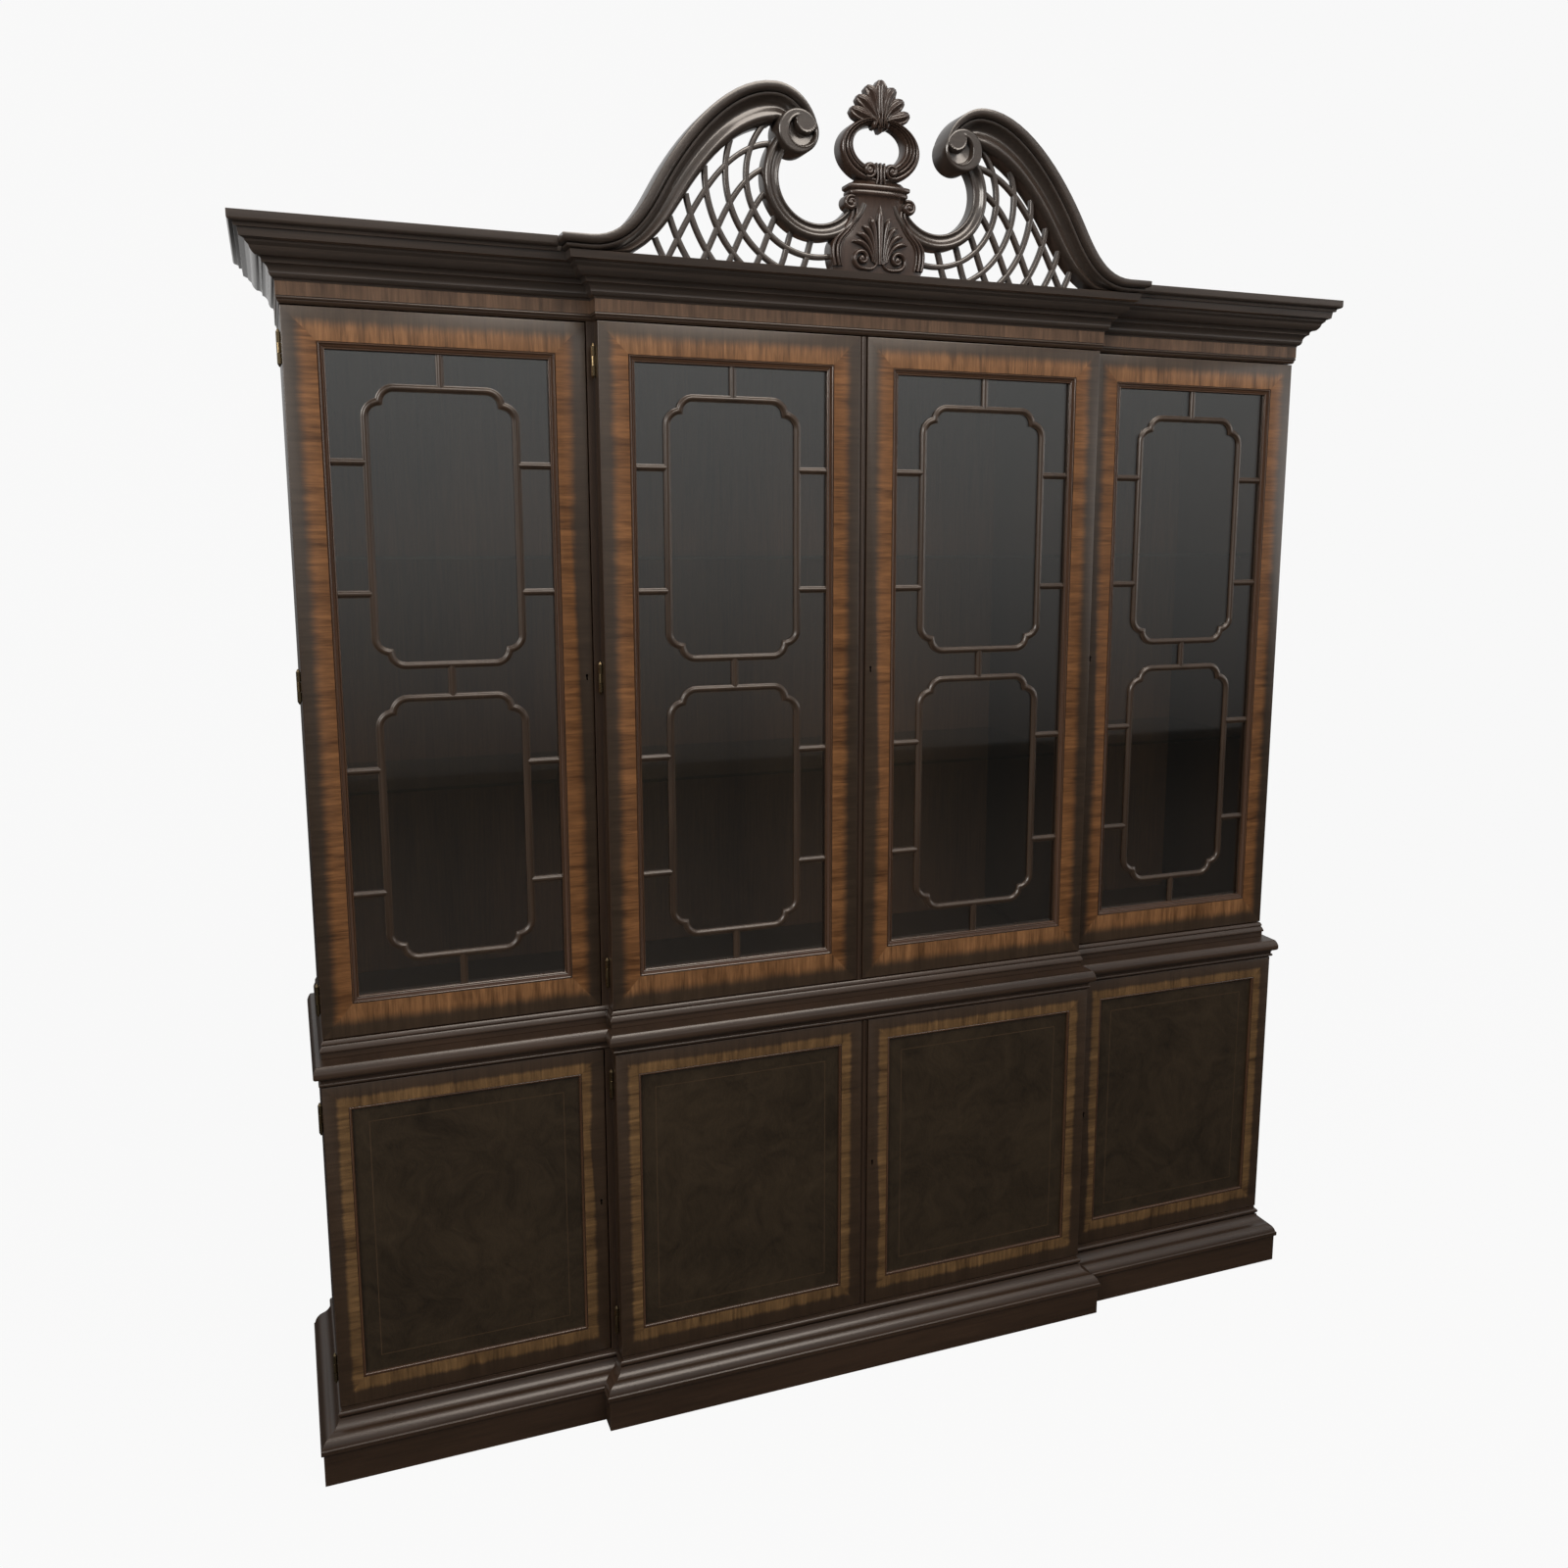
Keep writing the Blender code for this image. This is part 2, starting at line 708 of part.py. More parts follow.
def build_lock(name, frame, cuts, level, edge, way, face, anchor):
    """A lock case on the back of the stile, its keyhole and its sliding bolt."""
    middle = (level.low + level.high) / 2
    back = face + door_thickness
    y0, y1 = lock_y(face)
    case = bmesh.new()
    box(case, edge, edge - way * lock_width, back - sink, back + lock_depth,
        middle - lock_height / 2, middle + lock_height / 2)
    combine(frame, add(frame.name + "_lock_case", case, steel, anchor, cutters), "UNION")
    keyhole(cuts, edge - way * keyhole_inset, face, middle + keyhole_drop / 2)
    box(cuts, edge + way * cut_over, edge - way * (bolt_length + 2 * run_gap), y0 - run_gap,
        y1 + run_gap, middle - bolt_height / 2 - run_gap, middle + bolt_height / 2 + run_gap)
    bolt = bmesh.new()
    box(bolt, edge - way * run_gap, edge - way * (bolt_length + run_gap), y0, y1,
        middle - bolt_height / 2, middle + bolt_height / 2)
    add(name, bolt, brass, anchor)


def build_strike(frame, cuts, level, edge, face, anchor):
    """A hooked plate behind the meeting stile that takes the other door's bolt."""
    middle = (level.low + level.high) / 2
    back = face + door_thickness
    y0, y1 = lock_y(face)
    tip = edge + astragal_width + seat_gap - sink
    plate = bmesh.new()
    box(plate, edge - strike_width, tip, back, back + lock_depth,
        middle - lock_height / 2, middle + lock_height / 2)
    box(plate, edge - strike_width, edge - sink, back - sink, back + sink,
        middle - lock_height / 2, middle + lock_height / 2)
    combine(frame, add(frame.name + "_strike", plate, brass, anchor, cutters), "UNION")
    box(cuts, tip + cut_over, tip - mortise_depth, y0 - run_gap, y1 + run_gap,
        middle - bolt_height / 2 - run_gap, middle + bolt_height / 2 + run_gap)


def build_astragal(level, edge, face, anchor):
    """The beaded strip on the inactive door that covers the joint of the middle pair."""
    x0, x1 = edge + seat_gap, edge + seat_gap + astragal_width
    middle = (x0 + x1) / 2
    front, back = face + astragal_setback, face + door_thickness - seat_gap
    outline = [(x0, back), (x0, front)]
    for i in range(5):
        angle = math.pi * i / 4
        outline.append((middle - astragal_bead * math.cos(angle), front - astragal_bead * math.sin(angle)))
    outline += [(x1, front), (x1, back)]
    shape = bmesh.new()
    column(shape, outline, level.low + door_gap, level.high - door_gap)
    add(f"{tier_name(level)}_astragal", shape, mahogany, anchor)


def build_door(level, word, x0, x1, side, face, lock_way=0):
    """One door: frame, infill, fret, hinges and lock, turning on its own marker."""
    kind = tier_name(level)
    edge = x0 if side < 0 else x1
    x, y = hinge_axis(edge, side, face)
    anchor = empty(f"{kind}_hinge_line_{word}", (x, y, level.low), case_frame)
    shape, sight = door_frame_shape(x0, x1, level, face)
    frame = add(f"{kind}_door_frame_{word}", shape, mahogany, anchor)
    hardware, cuts = bmesh.new(), bmesh.new()
    moving_hinges(hardware, cuts, level, edge, side, face)
    combine(frame, add(frame.name + "_hinges", hardware, brass, anchor, cutters), "UNION")
    if lock_way:
        build_lock(f"{kind}_lock_bolt_{word}", frame, cuts, level, x0 if lock_way < 0 else x1,
                   lock_way, face, anchor)
    if word == "centre_left":
        build_strike(frame, cuts, level, x1, face, anchor)
        build_astragal(level, x1, face, anchor)
    combine(frame, add(frame.name + "_cuts", cuts, mahogany, anchor, cutters), "DIFFERENCE")
    build_infill(f"deck_pane_{word}" if level is deck else f"base_panel_{word}",
                 sight, level, face, anchor)
    if level is deck:
        build_fret(f"fret_{word}", sight, face, anchor)


def build_doors(level):
    wing_inner = level.bay + strip_width + door_gap
    bay_face = level.face - break_step
    build_door(level, "wing_left", -level.half, -wing_inner, -1, level.face, 1)
    build_door(level, "centre_left", -level.bay,
               -meeting_gap / 2 - astragal_width - seat_gap, -1, bay_face)
    build_door(level, "centre_right", meeting_gap / 2, level.bay, 1, bay_face, -1)
    build_door(level, "wing_right", wing_inner, level.half, 1, level.face, -1)


# Swan neck outline as shares of the pediment's half width and rise:
# node, handle, handle, node for the foot, the slope and the crest
neck_curve_shares = (
    ((0.918, 0.000), (0.803, 0.000), (0.761, 0.229), (0.706, 0.415)),
    ((0.706, 0.415), (0.635, 0.656), (0.503, 1.000), (0.353, 1.000)),
)
crest_handle_share = 0.79
neck_width_shares = (0.36, 0.48, 0.64, 0.74, 0.78, 0.80, 0.84, 0.90, 0.80, 0.72, 0.60, 0.40)
lattice_bar_shares = (1.00, 0.75, 0.56, 0.355, 0.17, 0.00)
lattice_head_degrees = (34, 7, -16, -41, -63, -86)
lattice_arrival_degrees = (6, 27, 50, 64, 68, 68)
lattice_slope_degrees = 62
lattice_turn = -104
bow_sweep = (40, -160)
lattice_handle_share = 0.33
bow_lap = 6
# Sections as shares: of the bow's width and depth, of the ring's radius and the finial's depth,
# and of the neck's cove across and behind its front
bow_section = ((0, 0.40), (0.10, 0.10), (0.30, 0.0), (0.50, 0.22), (0.75, 0.30),
               (0.90, 0.16), (1.0, 0.30), (1.0, 1.0), (0, 1.0))
neck_cove_shares = ((0.30, 0.80), (0.72, 0.62))
spiral_shares = SimpleNamespace(start=0.78, end=0.22, narrowing=0.5, first_degrees=200)
pediment_half = deck.bay + crown_reach
volute_z = crown_top + pediment_rise - volute_drop
neck_front = -front_reach


def neck_outer():
    """Top edge of the right-hand neck as (x, z) points, from foot to volute."""
    points = [Vector((pediment_half, crown_top))]
    for curve in neck_curve_shares:
        nodes = [Vector((pediment_half * x, crown_top + pediment_rise * z)) for x, z in curve]
        points += interpolate_bezier(*nodes, 7)[0 if len(points) == 1 else 1:]
    crest, end = points[-1], Vector((volute_x - volute_radius + neck_quirk, volute_z))
    top_handle = Vector((end.x + (crest.x - end.x) * (1 - crest_handle_share) * 2, crest.y))
    side_handle = Vector((end.x, end.y + (crest.y - end.y) * (1 - crest_handle_share) * 2))
    points += interpolate_bezier(crest, top_handle, side_handle, end, 7)[1:]
    return points


def share_at(shares, t):
    """Read a table of shares at a fraction of its length."""
    place = t * (len(shares) - 1)
    low = min(int(place), len(shares) - 2)
    return shares[low] + (shares[low + 1] - shares[low]) * (place - low)


def neck_stations():
    """Outer point, inward direction and face width at each step of the neck."""
    points = neck_outer()
    stations = []
    for i, here in enumerate(points):
        along = (points[min(i + 1, len(points) - 1)] - points[max(i - 1, 0)]).normalized()
        inward = Vector((-along.y, along.x))
        width = neck_width * share_at(neck_width_shares, i / (len(points) - 1))
        if inward.y < 0:
            width = min(width, (here.y - pediment_z()) / -inward.y)
        stations.append((here, inward, width))
    return stations


def neck_section(width):
    """Face of the neck as (distance from the outer edge, depth behind the front)."""
    second = neck_fillet + neck_quirk
    third = second + neck_bead
    start = third + neck_quirk
    span = max(width - start, 0)
    return [(0, neck_depth), (0, quirk), (quirk, 0), (neck_fillet, 0),
            (second, neck_fillet_step), (third, neck_fillet_step),
            (min(start, width), neck_fillet_step + neck_quirk * 2),
            *((start + span * across, neck_cove * deep) for across, deep in neck_cove_shares),
            (width, neck_cove), (width, neck_depth)]


def build_neck(word, side):
    shape = bmesh.new()
    loops = []
    for here, inward, width in neck_stations():
        loop = []
        for distance, depth in neck_section(width):
            point = here + inward * min(distance, width)
            loop.append((side * point.x, neck_front + depth, point.y))
        loops.append(loop)
    foot = neck_section(neck_stations()[0][2])
    loops[0] = [(side * (pediment_half - depth), neck_front + depth, crown_top - distance)
                for distance, depth in foot]
    loops.insert(0, [(x, neck_front + neck_depth, z) for x, y, z in loops[0]])
    loft(shape, loops)
    bmesh.ops.remove_doubles(shape, verts=shape.verts[:], dist=seat_gap / 100)
    neck = add(f"swan_neck_{word}", shape, mahogany)
    disc = bmesh.new()
    centre_x = side * volute_x
    rod(disc, (centre_x, neck_front + seat_gap, volute_z),
        (centre_x, neck_front + neck_depth - neck_quirk, volute_z), volute_radius, sides=20)
    combine(neck, add(neck.name + "_volute", disc, mahogany, collection=cutters), "UNION")
    groove = bmesh.new()
    loft(groove, spiral_loops(side))
    combine(neck, add(neck.name + "_groove", groove, mahogany, collection=cutters), "DIFFERENCE")


def spiral_loops(side, turns=1.6, steps=20):
    """A square groove that winds into the volute's eye."""
    loops = []
    for i in range(steps + 1):
        t = i / steps
        angle = math.radians(spiral_shares.first_degrees) - math.tau * turns * t
        radius = volute_radius * (spiral_shares.start + (spiral_shares.end - spiral_shares.start) * t)
        half = volute_groove * (1 - spiral_shares.narrowing * t) / 2
        loop = []
        for r, y in ((radius - half, -cut_over), (radius + half, -cut_over),
                     (radius + half, volute_groove), (radius - half, volute_groove)):
            loop.append((side * (volute_x + r * math.cos(angle)), neck_front + y,
                         volute_z + r * math.sin(angle)))
        loops.append(loop)
    return loops


def bow_centre():
    return Vector((bow_x, crown_top + bow_z))


def bow_point(radius, degrees):
    angle = math.radians(degrees)
    return bow_centre() + radius * Vector((math.cos(angle), math.sin(angle)))


def build_fretwork(word, side):
    """The pierced panel under one neck, with its moulded bow."""
    front = neck_front + lattice_front
    shape = bmesh.new()
    prism(shape, flip(panel_outline(seat_gap, 0), side), front, front + lattice_depth)
    panel = add(f"fretwork_{word}", shape, mahogany)
    cells = bmesh.new()
    for outline in lattice_cells():
        prism(cells, flip(outline, side), front - cut_over, front + lattice_depth + cut_over)
    cell_tool = add(panel.name + "_cells", cells, mahogany, collection=cutters)
    window = bmesh.new()
    prism(window, flip(panel_outline(seat_gap + lattice_rim, bow_width / 2), side),
          front - cut_over / 2, front + lattice_depth + cut_over / 2)
    combine(cell_tool, add(panel.name + "_window", window, mahogany, collection=cutters), "INTERSECT")
    weld = cell_tool.modifiers.new("weld", "WELD")
    weld.merge_threshold = seat_gap / 10
    combine(panel, cell_tool, "DIFFERENCE")
    bow = bmesh.new()
    loft(bow, bow_loops(side))
    combine(panel, add(panel.name + "_bow", bow, mahogany, collection=cutters), "UNION")
    combine(panel, add(panel.name + "_trim", neighbours(side), mahogany, collection=cutters),
            "DIFFERENCE")


def neighbours(side):
    """Everything the fretwork butts against, grown by the seat gap."""
    back = neck_front + neck_depth + cut_over
    above = [tuple(here - inward * seat_gap) for here, inward, width in neck_stations()]
    below = [tuple(here + inward * (width + seat_gap)) for here, inward, width in neck_stations()]
    shape = bmesh.new()
    prism(shape, flip(above + below[::-1], side), neck_front - cut_over, back)
    rod(shape, (side * volute_x, neck_front - cut_over, volute_z), (side * volute_x, back, volute_z),
        volute_radius + seat_gap, sides=20)
    prism(shape, [(-seat_gap, pediment_z() - cut_over), *flip(finial_side(seat_gap), side),
                  (-seat_gap, crown_top + pediment_rise)], neck_front - cut_over, back)
    return shape


def finial_side(margin):
    """One side of the finial's body as (x, z) points, moved out by a margin."""
    return [(finial_height * x + margin, pediment_z() + finial_height * z)
            for x, z in finial_body_shares]


def flip(outline, side):
    return [(side * x, z) for x, z in outline]


def panel_outline(margin, bow_margin):
    """Outline of the space between neck, bow, finial and crown, drawn in by a margin."""
    floor = pediment_z() + margin
    crest_x = pediment_half * neck_curve_shares[-1][-1][0]
    points = []
    for here, inward, width in neck_stations():
        inner = here + inward * (width + margin)
        if inner.y > floor and here.x > crest_x - seat_gap:
            points.append((inner.x, inner.y))
    radius = bow_radius - bow_width / 2 + bow_margin
    first, steps = bow_sweep[0] - bow_lap, 14
    arc = [tuple(bow_point(radius, first + (lattice_turn - first) * i / steps))
           for i in range(steps + 1)]
    wall = [point for point in finial_side(margin) if floor < point[1] < arc[-1][1]]
    foot_x = points[0][0] + (points[0][1] - floor) / math.tan(math.radians(40))
    return [(foot_x, floor), *points, *arc, *reversed(wall), (wall[0][0], floor)]


def bow_loops(side, steps=13):
    """The bow's moulded section swept round its arc."""
    loops = []
    first, last = bow_sweep
    for i in range(steps + 1):
        angle = first + (last - first) * i / steps
        loop = []
        for share, depth in bow_section:
            point = bow_point(bow_radius - bow_width * share, angle)
            loop.append((side * point.x, neck_front + bow_front + bow_depth * depth, point.y))
        loops.append(loop)
    return loops


def bar_curve(index):
    """Centre line of one rising bar, run on past both ends."""
    span = lattice_foot_outer - lattice_foot_inner
    foot = Vector((lattice_foot_inner + span * lattice_bar_shares[index], pediment_z()))
    head = bow_point(bow_radius - lattice_rim, lattice_head_degrees[index])
    leave = math.radians(lattice_slope_degrees)
    arrive = math.radians(lattice_arrival_degrees[index])
    reach = (head - foot).length * lattice_handle_share
    rise = Vector((-math.cos(leave), math.sin(leave)))
    land = Vector((-math.cos(arrive), math.sin(arrive)))
    middle = interpolate_bezier(foot, foot + rise * reach, head - land * reach, head, 14)
    return [foot - rise * bow_radius * 2, *middle, head.lerp(bow_centre(), 0.5)]


def edge_curve():
    """The neck's inner edge, used as the first rising line of the lattice."""
    points = [here + inward * width for here, inward, width in neck_stations()]
    keep = [point for point in points if point.x > volute_x and point.y > pediment_z() + lattice_rim]
    first = keep[0] - (keep[1] - keep[0]).normalized() * bow_radius * 2
    return [first, *keep, keep[-1].lerp(bow_centre(), 0.5)]


def end_curve():
    """The upright beside the finial, used as the last rising line of the lattice."""
    x = finial_height * finial_body_shares[2][0] - lattice_bar
    return [Vector((x, pediment_z() - bow_radius)), Vector((x, crown_top + bow_z))]


def shifted(curve, offset):
    """A curve moved sideways by an offset."""
    moved = []
    for i, here in enumerate(curve):
        along = (curve[min(i + 1, len(curve) - 1)] - curve[max(i - 1, 0)]).normalized()
        moved.append(here + Vector((-along.y, along.x)) * offset)
    return moved


def crossing(curve, radius):
    """The first point of a curve that lies at a radius from the bow's centre."""
    centre = bow_centre()
    for start, end in zip(curve, curve[1:]):
        far, near = (start - centre).length, (end - centre).length
        if far >= radius >= near:
            return start.lerp(end, (far - radius) / (far - near))
    return None


def lattice_cells():
    """Openings between neighbouring rings and neighbouring rising bars."""
    half = lattice_bar / 2
    lines = [edge_curve(), *(bar_curve(i) for i in range(len(lattice_bar_shares))), end_curve()]
    rings = [lattice_first + lattice_pitch * i for i in range(-1, 9)]
    cells = []
    for upper, lower in zip(lines, lines[1:]):
        top, bottom = shifted(upper, half), shifted(lower, -half)
        for inner, outer in zip(rings, rings[1:]):
            radii = (inner + half, outer - half)
            high = [crossing(top, radius) for radius in radii]
            low = [crossing(bottom, radius) for radius in radii]
            if None in high or None in low:
                continue
            middle_in = ring_middle(high[0], low[0], radii[0])
            middle_out = ring_middle(high[1], low[1], radii[1])
            outline = [*high, middle_out, *reversed(low), middle_in]
            if min((a - b).length for a, b in zip(high, low)) > half / 2:
                cells.append([tuple(point) for point in outline])
    return cells


def ring_middle(first, second, radius):
    centre = bow_centre()
    return centre + ((first + second) / 2 - centre).normalized() * radius


# Finial half outline as (half width share, height share), from the foot up
finial_body_shares = (
    (0.261, 0.000), (0.275, 0.045), (0.283, 0.098), (0.268, 0.160), (0.222, 0.220),
    (0.182, 0.280), (0.172, 0.330), (0.195, 0.345), (0.198, 0.368), (0.168, 0.385),
    (0.163, 0.404), (0.181, 0.418), (0.181, 0.438), (0.150, 0.446), (0.130, 0.478),
)
finial_crest_shares = (
    (0.000, 0.716), (0.050, 0.735), (0.120, 0.765), (0.150, 0.790), (0.166, 0.811), (0.140, 0.822),
    (0.152, 0.858), (0.110, 0.868), (0.118, 0.910), (0.070, 0.922), (0.066, 0.968),
    (0.000, 1.000),
)
finial_ring_share = SimpleNamespace(width=0.237, height=0.172, centre=0.636, hole=0.57)
finial_ring_section = ((1.0, 0.20), (0.84, 0.0), (0.68, 0.16), (finial_ring_share.hole, 0.40),
                       (finial_ring_share.hole, 0.85), (1.0, 0.85))
# Each pair of scrolls: how far out, how far up and how deep, then their radius
finial_scroll_shares = ((0.180, 0.362, 1.0), (0.075, 0.505, 0.7))
finial_scroll_radius = 0.0098
finial_crest_depth = 0.031


def mirrored(half_shares):
    """A closed symmetric outline from its right half, in real sizes."""
    floor = pediment_z()
    right = [(finial_height * x, floor + finial_height * z) for x, z in half_shares]
    left = [(-x, z) for x, z in reversed(right) if x > 0]
    return right + left


def ring_loops(steps=16):
    """The open ring between the finial's cap and its crest."""
    ring = finial_ring_share
    loops = []
    for i in range(steps):
        angle = math.tau * i / steps
        loop = []
        for share, depth in finial_ring_section:
            x = finial_height * ring.width * share * math.cos(angle)
            z = finial_height * (ring.centre + ring.height * share * math.sin(angle))
            loop.append((x, neck_front + finial_front + finial_depth * depth, pediment_z() + z))
        loops.append(loop)
    return loops


def build_finial():
    """Cartouche: a vase with a moulded cap, an open ring and a leaf crest."""
    front, floor = neck_front + finial_front, pediment_z()
    shape = bmesh.new()
    prism(shape, mirrored(finial_body_shares), front, front + finial_depth)
    finial = add("finial", shape, mahogany)
    ring = bmesh.new()
    loft(ring, ring_loops(), closed=True)
    combine(finial, add("finial_ring", ring, mahogany, collection=cutters), "UNION")
    crest = bmesh.new()
    prism(crest, mirrored(finial_crest_shares), front + sink, front + finial_crest_depth)
    combine(finial, add("finial_crest", crest, mahogany, collection=cutters), "UNION")
    scrolls = bmesh.new()
    for side in (-1, 1):
        for across, up, back_share in finial_scroll_shares:
            x, z = side * finial_height * across, floor + finial_height * up
            rod(scrolls, (x, front - sink, z), (x, front + finial_depth * back_share - sink, z),
                finial_scroll_radius, sides=10)
    combine(finial, add("finial_scrolls", scrolls, mahogany, collection=cutters), "UNION")


build_plinth()
build_base_boards()
build_deck_base()
build_frieze()
build_crown()
for tier_level in (base, deck):
    for side_word, side_sign in (("left", -1), ("right", 1)):
        build_side(tier_level, side_word, side_sign)
        build_partition(tier_level, side_word, side_sign)
    build_back(tier_level)
    build_shelves(tier_level)
    build_doors(tier_level)
for side_word, side_sign in (("left", -1), ("right", 1)):
    build_neck(side_word, side_sign)
    build_fretwork(side_word, side_sign)
build_finial()
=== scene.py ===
"""Breakfront china cabinet.

Mahogany case with a cupboard base and a glazed deck, satinwood frieze and cross-banded doors,
and a pierced swan-neck pediment with a carved finial. Metres, +Z up, front towards -Y.
"""
import cmath
import json
import math
from collections import namedtuple

import bmesh
import bpy
from mathutils import Matrix, Vector
from mathutils.geometry import interpolate_bezier

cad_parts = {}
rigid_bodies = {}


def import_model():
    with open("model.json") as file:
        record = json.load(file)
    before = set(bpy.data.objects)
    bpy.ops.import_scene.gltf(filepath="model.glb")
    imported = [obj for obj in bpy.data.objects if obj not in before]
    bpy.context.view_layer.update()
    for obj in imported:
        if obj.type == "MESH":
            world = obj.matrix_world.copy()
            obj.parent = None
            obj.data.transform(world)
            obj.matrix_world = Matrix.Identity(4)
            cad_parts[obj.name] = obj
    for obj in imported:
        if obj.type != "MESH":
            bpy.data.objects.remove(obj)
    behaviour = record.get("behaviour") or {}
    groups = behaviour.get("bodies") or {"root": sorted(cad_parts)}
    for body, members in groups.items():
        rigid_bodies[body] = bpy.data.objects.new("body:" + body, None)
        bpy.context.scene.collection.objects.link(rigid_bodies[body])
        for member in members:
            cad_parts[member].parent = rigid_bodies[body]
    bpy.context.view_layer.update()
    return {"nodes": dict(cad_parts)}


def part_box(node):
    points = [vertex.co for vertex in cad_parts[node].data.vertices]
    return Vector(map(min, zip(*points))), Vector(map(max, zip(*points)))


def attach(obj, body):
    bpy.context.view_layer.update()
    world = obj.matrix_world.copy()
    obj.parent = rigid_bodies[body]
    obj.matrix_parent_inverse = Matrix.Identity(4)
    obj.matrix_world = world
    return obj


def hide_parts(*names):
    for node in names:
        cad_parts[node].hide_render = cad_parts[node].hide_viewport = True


for leftover in list(bpy.data.objects):
    bpy.data.objects.remove(leftover, do_unlink=True)
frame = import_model()

# Viewpoint
# A person's eye height, in front of the left wing, looking slightly down and to the right.
# The lens is shifted a little so that the cabinet sits in the frame as it does in the picture.
eye = Vector((-1.0295, -2.63025, 1.7194))
turn_right, look_down, lean = 0.3978, 0.1679, 0.0086
focal_pixels, centre_x_pixels, centre_y_pixels, frame_pixels = 1428.93, 883.888, 766.068, 1600
film_width, nearest, farthest = 36, 0.05, 60

ahead = Vector((math.sin(turn_right) * math.cos(look_down),
                math.cos(turn_right) * math.cos(look_down), -math.sin(look_down)))
level_right = Vector((math.cos(turn_right), -math.sin(turn_right), 0))
level_up = level_right.cross(ahead)
view_right = level_right * math.cos(lean) + level_up * math.sin(lean)
view_up = level_up * math.cos(lean) - level_right * math.sin(lean)
lens = bpy.data.cameras.new("camera")
lens.sensor_width = film_width
lens.lens = film_width * focal_pixels / frame_pixels
lens.shift_x = (frame_pixels / 2 - centre_x_pixels) / frame_pixels
lens.shift_y = (centre_y_pixels - frame_pixels / 2) / frame_pixels
lens.clip_start, lens.clip_end = nearest, farthest
camera = bpy.data.objects.new("camera", lens)
bpy.context.scene.collection.objects.link(camera)
camera.matrix_world = (Matrix.Translation(eye) @
                       Matrix((view_right, view_up, -ahead)).transposed().to_4x4())
bpy.context.scene.camera = camera
bpy.context.scene.view_settings.view_transform = "Standard"


# Studio
# A pale floor that sweeps up into a pale wall, soft lamps and an even dim sky.
# The backdrop is lightened for the eye and keeps its shadow. Gloss sees a sky that brightens
# upwards, over a dim floor.
class Tone:
    """One shader socket. Sums, differences, products and comparisons add their Math nodes."""

    def __init__(self, socket):
        self.socket, self.tree = socket, socket.id_data

    def maths(self, operation, first, second):
        return node(self.tree, "Math", {"operation": operation}, {0: first, 1: second})

    def __add__(self, other):
        return self.maths("ADD", self, other)

    def __sub__(self, other):
        return self.maths("SUBTRACT", self, other)

    def __rsub__(self, other):
        return self.maths("SUBTRACT", other, self)

    def __mul__(self, other):
        return self.maths("MULTIPLY", self, other)

    def __gt__(self, other):
        return self.maths("GREATER_THAN", self, other)

    def __lt__(self, other):
        return self.maths("LESS_THAN", self, other)

    __radd__, __rmul__ = __add__, __mul__


def node(tree, kind, settings=(), inputs=(), out=0):
    """Add a shader node: its settings first, then the values or links of its sockets."""
    made = tree.nodes.new("ShaderNode" + kind)
    for name, value in dict(settings).items():
        if name == "stops":
            stops = made.color_ramp.elements
            stops[0].position, stops[1].position = value[0][0], value[-1][0]
            stops[0].color, stops[1].color = (*value[0][1], 1), (*value[-1][1], 1)
            for place, colour in value[1:-1]:
                stops.new(place).color = (*colour, 1)
        else:
            setattr(made, name, value)
    for name, value in dict(inputs).items():
        if isinstance(value, Tone):
            tree.links.new(value.socket, made.inputs[name])
        else:
            made.inputs[name].default_value = value
    return Tone(made.outputs[out])


def between(tree, value, low, high, to_low=0.0, to_high=1.0, curve="LINEAR"):
    """Stretch a value from one span to another, held inside the ends."""
    return node(tree, "MapRange", {"interpolation_type": curve},
                {"Value": value, "From Min": low, "From Max": high,
                 "To Min": to_low, "To Max": to_high})


def new_finish(name):
    """A new material and its nodes."""
    finish = bpy.data.materials.new(name)
    finish.use_nodes = True
    return finish, finish.node_tree


def height_of(tree, source, out):
    """The upward part of a direction."""
    return node(tree, "SeparateXYZ", inputs={0: node(tree, source, out=out)}, out="Z")


def seen(tree):
    """1 for rays from the eye and through glass, then 1 for rays that are reflected."""
    ray = {way: node(tree, "LightPath", out=f"Is {way} Ray")
           for way in ("Camera", "Glossy", "Transmission")}
    straight = ray["Camera"] + ray["Transmission"] > 0.5
    return straight, ray["Glossy"] * (1 - straight)


sky_strength, sky_seen = 0.32, 0.945
gloss_low, gloss_high = -0.19, 0.28        # heights of a mirrored ray, where the sky changes
sky_low_in_gloss, sky_high_in_gloss = 0.035, 0.50
backdrop_white, backdrop_rough, backdrop_shine = (0.32, 0.32, 0.32), 0.9, 0.1
backdrop_lift, floor_gloss_dim, wall_in_gloss = 0.93, 0.84, 0.45
sweep_half, sweep_front, wall_y, wall_top = 14.0, -7.0, 6.0, 9.0
sweep_bend, sweep_steps, lamp_size = 2.5, 12, 2.4

world = bpy.data.worlds.new("studio")
bpy.context.scene.world = world
world.use_nodes = True
tree = world.node_tree
sky = tree.nodes["Background"]
sky.inputs["Color"].default_value = (1, 1, 1, 1)
straight, reflected = seen(tree)
in_gloss = between(tree, height_of(tree, "TexCoord", "Generated"), gloss_low, gloss_high,
                   sky_low_in_gloss, sky_high_in_gloss)
tree.links.new((straight * (sky_seen - sky_strength) + reflected * (in_gloss - sky_strength)
                + sky_strength).socket, sky.inputs["Strength"])

